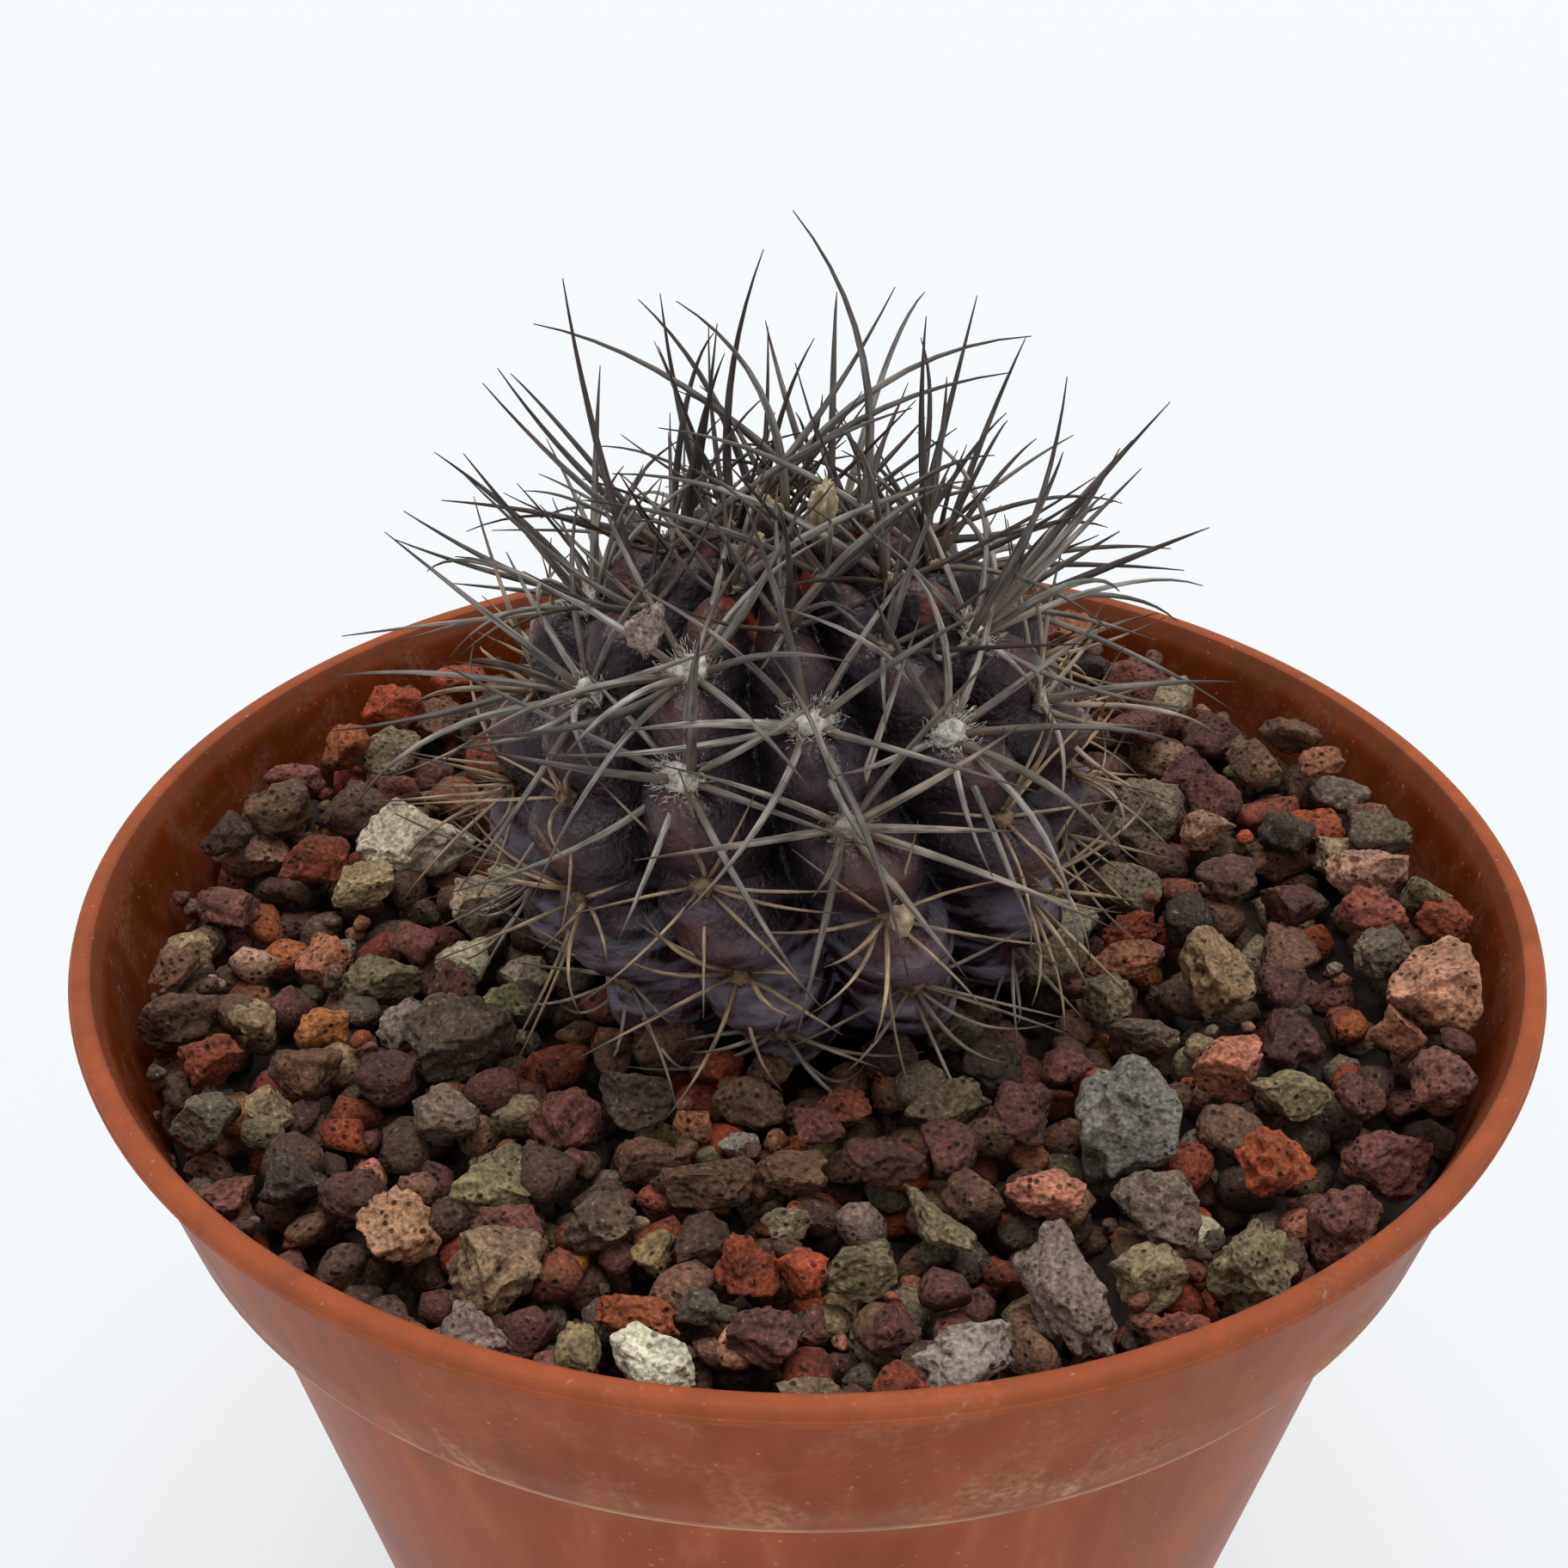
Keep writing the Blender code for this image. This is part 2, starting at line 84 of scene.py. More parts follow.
# Gravel
MIX_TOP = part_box("potting_mix")[1].z
GRAVEL_LEVEL = POT_HEIGHT - 6.4 * MM
GRIT_LEVEL = POT_HEIGHT - 11.6 * MM
GRAVEL_SLOPE = 0.02
EDGE_RISE = 3.3 * MM
GRAVEL_REACH = 48.7 * MM
STEM_FOOT_REACH = 15.4 * MM
STEM_HOLE = 15.2 * MM
# The pot's wall leans outwards, so the bed widens by this share of its rise
WALL_LEAN = 0.28
# Cells of the ground's grid; a taken cell is marked with a height that no stone reaches
CELL = 0.5 * MM
BLOCKED = 1.0
SECTORS = 5
# Stones placed one by one have more pores than this, scattered ones fewer
CHOSEN_PORES = 30

# Stem
STEM_CENTRE = Vector((-1.0 * MM, 2.3 * MM, POT_HEIGHT + 6.3 * MM))
STEM_RADIUS = 19.8 * MM
STEM_HALF_HEIGHT = 19.0 * MM
RIBS = 11
RIB_DEPTH = 4.2 * MM
TUBERCLE_HEIGHT = 2.7 * MM
RIB_TWIST = -0.35
GLOBE_FOOT = math.radians(-37)
ROOT_DEPTH = 20.5 * MM
ROOT_TIP_RADIUS = 0.8 * MM
ROOT_TAPER = 1.3

# Areoles
FIRST_TURN = math.radians(4)
FIRST_LATITUDE = math.radians(43)
AREOLE_SPACING = math.radians(20)
ROWS_ROUND = 4
AREOLE_TILT = math.radians(12)
LOWEST_AREOLE = math.radians(-31)
HIGHEST_AREOLE = math.radians(80)
LOWEST_CAD_AREOLE = math.radians(2)
HIGHEST_CAD_AREOLE = math.radians(74)
DUSTY_BELOW = math.radians(-13)
CROWN_ABOVE = math.radians(51)

# Spines of an areole: count, lowest and highest climb in degrees, shortest and longest in mm,
# share of the full thickness, tone. An areole high on the globe has short new spines, and one
# low on it has lost its youth and most of its long spines.
TOPMOST_ABOVE = 70
NEW_ABOVE = 52
TOPMOST_SPINES = ((5, 15, 70, 7, 13, 0.62, 0.2),)
NEW_SPINES = ((6, 10, 50, 8, 14, 0.66, 0.3), (1, 55, 80, 12, 17, 0.86, 0.15))
YOUNG_SPINES = ((8, 8, 34, 11, 18, 0.86, 0.8), (2, 38, 75, 14, 20, 1.05, 0.55))
AGEING_SPINES = ((7, 10, 36, 9, 14, 0.6, 0.9), (1, 40, 75, 10, 14, 0.8, 0.7))
OLD_SPINES = ((8, 12, 40, 7.5, 12, 0.5, 1.0), (1, 45, 75, 8, 11, 0.62, 1.0))
SPINE_REACH = 34 * MM
LOWEST_TIP = GRAVEL_LEVEL + 2.6 * MM

# Long spines that cross over the crown or stand out at the sides, by areole counted from the
# crown: tip x, y, z in mm from the stem's centre, bow to the right and up in mm, tone
LONG_SPINES = {
    1: ((-8, 9, 33, 4, 3, 0.6),),
    3: ((-14, -4, 24, 0, 2, 0.4),),
    4: ((0, 10, 39, 5, 2, 0.5),),
    5: ((-2, 11, 36, -2.5, 0, 0.05), (15, 6, 29, -2, 4, 0.5), (7, 9, 34, 1, -1, 0.6)),
    6: ((12, -3, 25, 0, 3, 0.75),),
    7: ((-12, -2, 25, 0, 4, 0.8),),
    8: ((-18, 10, 31, 0, 5, 0.4),),
    9: ((-21, 4, 29, 0, -2, 0.4), (8, 2, 28, 0, 3, 0.6)),
    10: ((10, -6, 26, 0, 3, 0.5),),
    11: ((9, 6, 33, -1, 0, 0.1), (-9, 1, 27, 0, 4, 0.85)),
    12: ((-11, 15, 31, 2, 2, 0.3), (17, 13, 29, -2, 6, 0.6)),
    13: ((-15, 2, 37, -1, 0, 0.12),),
    15: ((13, 13, 32, 0, 0, 0.3), (23, 7, 19, 0, -2, 0.3)),
    16: ((-21, 12, 27, -1, -1, 0.2), (-25, 7, 19, 0, 1, 0.2)),
    18: ((18, 0, 31, 2, -1, 0.3),),
    20: ((-27, 3, 20, 0, -1, 0.3),),
    22: ((23, 7, 23, 1, -1, 0.3), (23, 4, 18, 0, 0, 0.4)),
    26: ((29, 10, 12, 0, 1, 0.2),),
    27: ((-29, 9, 15, 0, -1, 0.3),),
    29: ((30, -7, 12, 0, 1, 0.5),),
    31: ((-32, -5, 7, 0, -1, 0.4),),
}

# Kinds of stone: its finish and the colours it is found in
ROCKS = {
    "red": ("scoria", ("#7f3a24", "#703420", "#8c4023", "#784030")),
    "orange": ("scoria", ("#8d5a41", "#8a4a28", "#96602f", "#86543d")),
    "salmon": ("scoria", ("#a5765a", "#a86d54", "#9d7660")),
    "brown": ("scoria", ("#614535", "#503a2d", "#6c4d3b", "#5b4232")),
    "mauve": ("scoria", ("#653d34", "#58362f", "#70463b")),
    "lilac": ("basalt", ("#7a685e", "#716055", "#857266")),
    "grey": ("basalt", ("#675a4a", "#594d40", "#726451")),
    "slate": ("basalt", ("#6b685d",)),
    "dark": ("basalt", ("#4b3d32", "#40342a", "#554638")),
    "olive": ("tuff", ("#71644b", "#665841", "#7d6f53")),
    "mossy": ("tuff", ("#6f6f43", "#7d7a55")),
    "tan": ("tuff", ("#877254", "#7a6549", "#8b7559")),
    "cream": ("pumice", ("#ad9e84", "#a08f72", "#b8ab92")),
    "chalk": ("pumice", ("#cfc8ae",)),
    "white": ("pumice", ("#8f857b", "#a29a8a", "#857970")),
}
COMMON_ROCKS = (
    ("brown", 40), ("mauve", 16), ("red", 15), ("grey", 5), ("dark", 7),
    ("olive", 5), ("orange", 8), ("lilac", 4), ("tan", 4), ("salmon", 3), ("cream", 1),
)

# The fourteen stones of the CAD model: x, y, length, width, height in mm, turn, rock, flats
LARGE_STONES = {
    "stone_grey_green": (21.0, -23.5, 9.2, 7.2, 6.2, 72, "slate", 5),
    "stone_salmon_rim": (43.9, -12.4, 7.6, 6.6, 6.2, 60, "salmon", 5),
    "stone_orange_red": (29.6, -28.6, 6.0, 5.2, 5.0, 60, "red", 3),
    "stone_olive_porous": (27.0, -36.8, 6.0, 5.2, 4.8, 40, "olive", 3),
    "stone_brown_faceted": (36.8, -27.6, 5.8, 5.2, 4.8, 25, "mauve", 7),
    "stone_lilac_long": (15.4, -38.6, 9.0, 5.2, 4.2, 104, "lilac", 6),
    "stone_salmon": (28.4, -18.6, 5.4, 4.8, 4.6, 20, "salmon", 5),
    "stone_tan_porous": (29.0, -9.0, 7.0, 5.0, 5.4, 95, "tan", 3),
    "stone_mauve_wedge": (21.6, -31.6, 6.0, 5.0, 4.4, 150, "lilac", 6),
    "stone_cream_large": (-30.4, 10.0, 9.4, 6.6, 6.0, 10, "cream", 4),
    "stone_dark_grey": (-24.0, -13.6, 7.6, 6.2, 5.6, 15, "dark", 3),
    "stone_beige_porous": (-19.0, -36.0, 6.8, 5.6, 5.2, 30, "tan", 2),
    "stone_pink_brown": (-25.6, -33.0, 5.4, 5.0, 4.8, 0, "salmon", 3),
    "stone_white_flat": (8.6, -44.0, 6.8, 4.2, 3.4, 8, "white", 6),
}

# Other stones that stand out: x, y, length, width in mm, turn, rock
STANDING_OUT = (
    (42, -21, 4.6, 4.4, 20, "mauve"), (36.6, -21.4, 4, 3.4, 80, "mauve"),
    (32, -21.4, 5.6, 4, 0, "olive"), (41, -7, 4.8, 4.2, 90, "grey"),
    (42, 2, 6.4, 5, 10, "salmon"), (40.6, -15.5, 4.4, 4, 60, "orange"),
    (20.6, -37, 4.4, 4, 40, "olive"), (15, -29.8, 5.2, 4.2, 170, "salmon"),
    (21.6, -42, 4.4, 3.4, 0, "red"), (23.4, -14.5, 4.9, 3.6, 0, "dark"),
    (21.4, -9.9, 3.8, 3.6, 0, "grey"), (23, -5.4, 6.2, 3, 8, "orange"),
    (24.2, -1.9, 4.8, 3.6, 0, "red"), (17.6, -17.6, 4.6, 3.6, 80, "mauve"),
    (31.4, 10, 4.2, 4, 0, "salmon"), (-16, -22.3, 5, 4.6, 30, "mauve"),
    (-11.5, -20, 5.2, 4.6, 0, "dark"), (-6, -17, 3.4, 3, 0, "red"),
    (-2.6, -17, 3.2, 3, 0, "brown"), (-7.4, -22.4, 3, 2.8, 0, "orange"),
    (-4.6, -24.6, 2.8, 2.4, 0, "white"), (-6.6, -28.4, 7, 3.4, 10, "brown"),
    (-1, -27.4, 4.8, 3.4, 160, "brown"), (2, -21, 4.6, 2.8, 0, "red"),
    (4.8, -26.8, 6, 4.2, 165, "mauve"), (9.3, -21, 6, 3.8, 0, "olive"),
    (12.6, -17, 4.2, 4, 0, "dark"), (5.6, -16, 3.4, 3.2, 0, "red"),
    (14.4, -22.3, 5.2, 4.4, 40, "mauve"), (7.8, -32, 7.2, 2.8, 125, "olive"),
    (-3.7, -36, 4.4, 4.2, 0, "red"), (-.5, -36.6, 3.4, 3.2, 0, "red"),
    (-2.7, -42, 5, 4.4, 20, "mauve"), (-10.6, -39.7, 5.8, 3.4, 165, "orange"),
    (-6.7, -38.7, 3.2, 2.8, 0, "grey"), (-9, -43.6, 5.6, 4.2, 150, "chalk"),
    (3.1, -36.3, 4.8, 3.6, 20, "olive"), (-1.4, -31.8, 3.4, 2.8, 0, "olive"),
    (-13.3, -32, 5, 4.2, 0, "dark"), (-9.7, -34.3, 3.4, 2.8, 90, "tan"),
    (4.7, -41, 3.8, 3.2, 0, "mauve"), (5, -45.6, 3.6, 3.4, 0, "red"),
    (0, -46.4, 4.6, 2.8, 0, "olive"), (-13.7, -42.3, 4, 2.8, 90, "tan"),
    (-24.7, 2, 5.6, 4.6, 80, "cream"), (-25, -4.7, 4.2, 3.8, 0, "cream"),
    (-28, -12.4, 4.8, 4, 80, "lilac"), (-30.5, -7, 5.8, 4, 0, "olive"),
    (-24, -21.6, 4.6, 4.2, 0, "grey"), (-19.4, -21.4, 3.8, 3.4, 0, "olive"),
    (-20, -28.8, 6, 4.4, 10, "olive"), (-18.6, -32.6, 5.4, 3.6, 0, "mauve"),
    (-29, -29.6, 4.6, 4.2, 0, "mauve"), (-33, -28, 4.4, 4, 0, "dark"),
    (-19.4, -41.6, 5, 4.4, 0, "lilac"), (-33.6, 4, 5.2, 4, 0, "tan"),
    (-45, -4.3, 3.8, 3, 0, "tan"), (-39, -12, 3.8, 3, 0, "tan"),
    (-40.6, -17, 4.8, 4.4, 0, "red"), (-36, -21, 3.6, 3, 0, "tan"),
    (-33.9, -12.6, 3.8, 3.4, 0, "orange"), (-21.6, -9.4, 4, 3.4, 0, "mossy"),
    (-20.4, -5.6, 3.4, 3, 40, "cream"), (-22.6, 6.6, 4.2, 3.4, 0, "cream"),
)


# Shrivelled tubes of the last flowers: turn and latitude in degrees, length and lean in mm
HUSKS = ((60, 84, 5.0, 0.5), (200, 80, 3.6, -1.2), (300, 78, 3.2, 1.0))

# Stage
FLOOR_SIZE = 30.0
FLOOR_GLOW = 0.70
SKY_WHITENESS = 1.02
KEY_ANGLE = math.radians(52)
KEY_FROM = Vector((0.06, 0.12, 1.0))
CAMERA_LENS = 51.4
CAMERA_PLACE = Vector((-1.6 * MM, -137.0 * MM, POT_HEIGHT + 91.6 * MM))
CAMERA_TILT = math.radians(31.6)


def linear_rgb(colour):
    """An sRGB hex colour as three linear values."""
    channels = [int(colour[i : i + 2], 16) / 255 for i in (1, 3, 5)]
    return tuple(c / 12.92 if c <= 0.04045 else ((c + 0.055) / 1.055) ** 2.4 for c in channels)


def rgba(colour):
    return (*linear_rgb(colour), 1.0)


# ---- Settings a user would change ----


def length_setting(name, description, default):
    return bpy.props.FloatProperty(
        name=name, description=description, default=default, unit="LENGTH", min=0.0, precision=5
    )


def colour_setting(name, description, default):
    return bpy.props.FloatVectorProperty(
        name=name,
        description=description,
        default=linear_rgb(default),
        subtype="COLOR",
        size=3,
        min=0.0,
        max=1.0,
    )


class PotSettings(bpy.types.PropertyGroup):
    plastic: colour_setting("Plastic", "Colour of the moulded terracotta plastic", "#9a461e")
    limescale: colour_setting("Limescale", "Colour of the dried hard water marks", "#cba68c")


class GravelSettings(bpy.types.PropertyGroup):
    under_stones: bpy.props.IntProperty(
        name="Under stones", description="Stones in the lower layer", default=900, min=0
    )
    top_stones: bpy.props.IntProperty(
        name="Top stones", description="Stones dropped between the large ones", default=600, min=0
    )
    grains: bpy.props.IntProperty(
        name="Grains", description="Small grains that fall into the gaps", default=420, min=0
    )


class StemSettings(bpy.types.PropertyGroup):
    skin: colour_setting("Skin", "Colour of the stem's skin", "#3c2c34")
    bloom: colour_setting("Bloom", "Colour of the waxy bloom low on the stem", "#9a94a8")


class SpineSettings(bpy.types.PropertyGroup):
    thickness: length_setting("Thickness", "Radius of a large spine near its foot", 0.33 * MM)
    young: colour_setting("Young", "Colour of the weathered upper spines", "#a59f97")
    fresh: colour_setting("Fresh", "Colour of the newest, darkest spines", "#30231d")
    old: colour_setting("Old", "Colour of the old lower spines", "#bda283")


class StageSettings(bpy.types.PropertyGroup):
    floor: colour_setting("Floor", "Colour of the floor's own glow", "#f4f7f8")
    sky: bpy.props.FloatProperty(
        name="Sky", description="Strength of the light from all round", default=0.52, min=0.0
    )
    sun: bpy.props.FloatProperty(
        name="Key", description="Strength of the soft key light", default=1.85, min=0.0
    )


# ---- Meshes ----


def fresh_object(name, mesh, *finishes):
    """Links a mesh as a piece that rides on the plant's one body."""
    made = bpy.data.objects.new(name, mesh)
    bpy.context.scene.collection.objects.link(made)
    for finish in finishes:
        mesh.materials.append(finish)
    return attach(made, BODY)


def to_mesh(name, bm):
    mesh = bpy.data.meshes.new(name)
    bm.to_mesh(mesh)
    bm.free()
    mesh.shade_smooth()
    return mesh


def points_of(mesh):
    points = np.empty(len(mesh.vertices) * 3)
    mesh.vertices.foreach_get("co", points)
    return points.reshape(-1, 3)


def move_points(mesh, points):
    mesh.vertices.foreach_set("co", np.ascontiguousarray(points, dtype=float).ravel())
    mesh.update()


def paint(mesh, name, values):
    """Stores one number or one colour for each point of a mesh."""
    values = np.asarray(values, dtype=np.float32)
    colours = values.ndim == 2
    layer = mesh.attributes.new(name, "FLOAT_COLOR" if colours else "FLOAT", "POINT")
    layer.data.foreach_set("color" if colours else "value", values.ravel())


def turned(profile, segments):
    """A closed solid turned about Z from (radius, height) points."""
    bm = bmesh.new()
    verts = [bm.verts.new((radius, 0.0, height)) for radius, height in profile]
    edges = [bm.edges.new((a, b)) for a, b in zip(verts, verts[1:])]
    if profile[0][0] > 0.0:
        edges.append(bm.edges.new((verts[-1], verts[0])))
    bmesh.ops.spin(
        bm,
        geom=verts + edges,
        cent=(0.0, 0.0, 0.0),
        axis=(0.0, 0.0, 1.0),
        angle=FULL_TURN,
        steps=segments,
        use_merge=True,
    )
    bmesh.ops.remove_doubles(bm, verts=bm.verts, dist=1e-6)
    bmesh.ops.recalc_face_normals(bm, faces=bm.faces)
    return bm


def ball_mesh(subdivisions):
    """A unit ball of triangles, the start of a stone."""
    bm = bmesh.new()
    bmesh.ops.create_icosphere(bm, subdivisions=subdivisions, radius=1.0)
    return to_mesh("ball", bm)


def rod_mesh(sides, rings):
    """A unit rod from z = 0 to 1 that a spine or a hair is bent from."""
    bm = bmesh.new()
    bmesh.ops.create_cone(bm, cap_ends=True, segments=sides, radius1=1.0, radius2=1.0, depth=1.0)
    bmesh.ops.translate(bm, vec=(0.0, 0.0, 0.5), verts=bm.verts)
    for i in range(1, rings):
        bmesh.ops.bisect_plane(
            bm,
            geom=bm.verts[:] + bm.edges[:] + bm.faces[:],
            plane_co=(0.0, 0.0, i / rings),
            plane_no=(0.0, 0.0, 1.0),
        )
    return to_mesh("rod", bm)


def gather(name, parts):
    """One mesh from many copies of templates, each part a (template, points, material, paints)."""
    bm = bmesh.new()
    for part in parts:
        bm.from_mesh(part[0])
    mesh = to_mesh(name, bm)
    move_points(mesh, np.concatenate([part[1] for part in parts]))
    index = [np.full(len(part[0].polygons), part[2]) for part in parts]
    mesh.polygons.foreach_set("material_index", np.concatenate(index).astype(np.int32))
    for paint_name in parts[0][3]:
        paint(mesh, paint_name, np.concatenate([part[3][paint_name] for part in parts]))
    return mesh


def ripple(points, draw, pitch, waves=14):
    """Smooth random waves through space, about -1 to 1, of that wavelength."""
    heading = draw.normal(size=(waves, 3))
    heading /= np.linalg.norm(heading, axis=1)[:, None]
    heading *= (FULL_TURN / pitch) * draw.uniform(0.7, 1.4, size=(waves, 1))
    phase = draw.uniform(0.0, FULL_TURN, size=waves)
    return np.sin(points @ heading.T + phase).sum(axis=1) / math.sqrt(waves)


# ---- Finishes ----


def add(tree, kind, inputs=None, **settings):
    """Adds a node with its settings, and links or fills its inputs.

    A node given as an input stands for the first of its outputs in use. A colour Mix takes its
    share as input 0 and the two colours as inputs 6 and 7.
    """
    made = tree.nodes.new("ShaderNode" + kind)
    for name, value in settings.items():
        setattr(made, name, value)
    for socket, value in (inputs or {}).items():
        if isinstance(value, bpy.types.Node):
            value = next(output for output in value.outputs if output.enabled)
        if isinstance(value, bpy.types.NodeSocket):
            tree.links.new(value, made.inputs[socket])
        else:
            made.inputs[socket].default_value = value
    return made


def start_finish(name, **constants):
    """(material, tree, shader, position) of a new finish with its constant inputs set."""
    made = bpy.data.materials.new(name)
    made.use_nodes = True
    tree = made.node_tree
    shader = tree.nodes["Principled BSDF"]
    for socket, value in constants.items():
        shader.inputs[socket.replace("_", " ")].default_value = value
    return made, tree, shader, add(tree, "TexCoord").outputs["Object"]


def noise_at(pitch, detail=3.0):
    """Inputs of a noise texture whose features are about that many metres wide."""
    return {"Scale": 1.0 / pitch, "Detail": detail}


def span(low, high, at_low=0.0, at_high=1.0):
    """Inputs of a range from low to high that is mapped onto at_low to at_high."""
    return {"From Min": low, "From Max": high, "To Min": at_low, "To Max": at_high}


def rock_finish(name, pore_pitch, pore_depth, mottle, speck):
    """Broken volcanic rock: matt, grainy, with open gas pores and a tint for each stone."""
    made, tree, shader, position = start_finish(name, IOR=1.5)
    tint = add(tree, "Attribute", attribute_name="tint").outputs["Color"]
    patches = add(tree, "TexNoise", {"Vector": position, **noise_at(2.2 * MM)})
    grains = add(tree, "TexNoise", {"Vector": position, **noise_at(0.34 * MM, 2.0)})
    # Real pores are down to 0.1 mm; the ones drawn are as coarse as they need to be to show
    pores = add(tree, "TexVoronoi", {"Vector": position, "Scale": 1.0 / pore_pitch})
    wide = add(tree, "TexNoise", {"Vector": position, **noise_at(1.3 * MM, 1.0)})
    light = add(
        tree, "MapRange", {"Value": patches, **span(0.32, 0.68, 1.0 - mottle, 1.0 + mottle)}
    )
    fine = add(tree, "MapRange", {"Value": grains, **span(0.32, 0.68, 0.5, 1.42)})
    both = add(tree, "Math", {0: light, 1: fine}, operation="MULTIPLY")
    body = add(tree, "VectorMath", {0: tint, "Scale": both}, operation="SCALE")
    round_pores = add(
        tree, "MapRange", {"Value": pores.outputs["Distance"], **span(0.16, 0.34, pore_depth, 0.0)}
    )
    patchy = add(tree, "MapRange", {"Value": wide, **span(0.42, 0.55)})
    pitted = add(tree, "Math", {0: round_pores, 1: patchy}, operation="MULTIPLY")
    # Pores are painted near black: painted shade in the holes, on top of the bump that dents them
    dark = add(tree, "Mix", {0: pitted, 6: body, 7: rgba("#1a1412")}, data_type="RGBA")
    shining = add(tree, "MapRange", {"Value": grains, **span(0.66, 0.72, 0.0, speck)})
    flecked = add(tree, "Mix", {0: shining, 6: dark, 7: rgba("#c9b89c")}, data_type="RGBA")
    tree.links.new(flecked.outputs[2], shader.inputs["Base Color"])
    gloss = add(tree, "MapRange", {"Value": patches, **span(0.3, 0.7, 0.78, 0.98)})
    tree.links.new(gloss.outputs[0], shader.inputs["Roughness"])
    height = add(tree, "Math", {0: grains, 1: pitted}, operation="SUBTRACT")
    bump = add(tree, "Bump", {"Height": height, "Strength": 0.9, "Distance": 0.22 * MM})
    tree.links.new(bump.outputs[0], shader.inputs["Normal"])
    return made


def make_rock_finishes():
    """The finish of each of the four rocks in the gravel."""
    # Scoria: frothy red to brown lava, the most open pores, dull and earthy
    # Basalt: dense dark lava, few fine pores, smoother broken faces
    # Tuff: gritty ash stone with light and dark grains
    # Pumice: pale glassy froth, small pores and a chalky face
    return {
        "scoria": rock_finish("scoria", 0.66 * MM, 0.92, 0.34, 0.18),
        "basalt": rock_finish("basalt", 0.55 * MM, 0.70, 0.28, 0.35),
        "tuff": rock_finish("tuff", 0.70 * MM, 0.90, 0.36, 0.45),
        "pumice": rock_finish("pumice", 0.75 * MM, 0.60, 0.25, 0.10),
    }


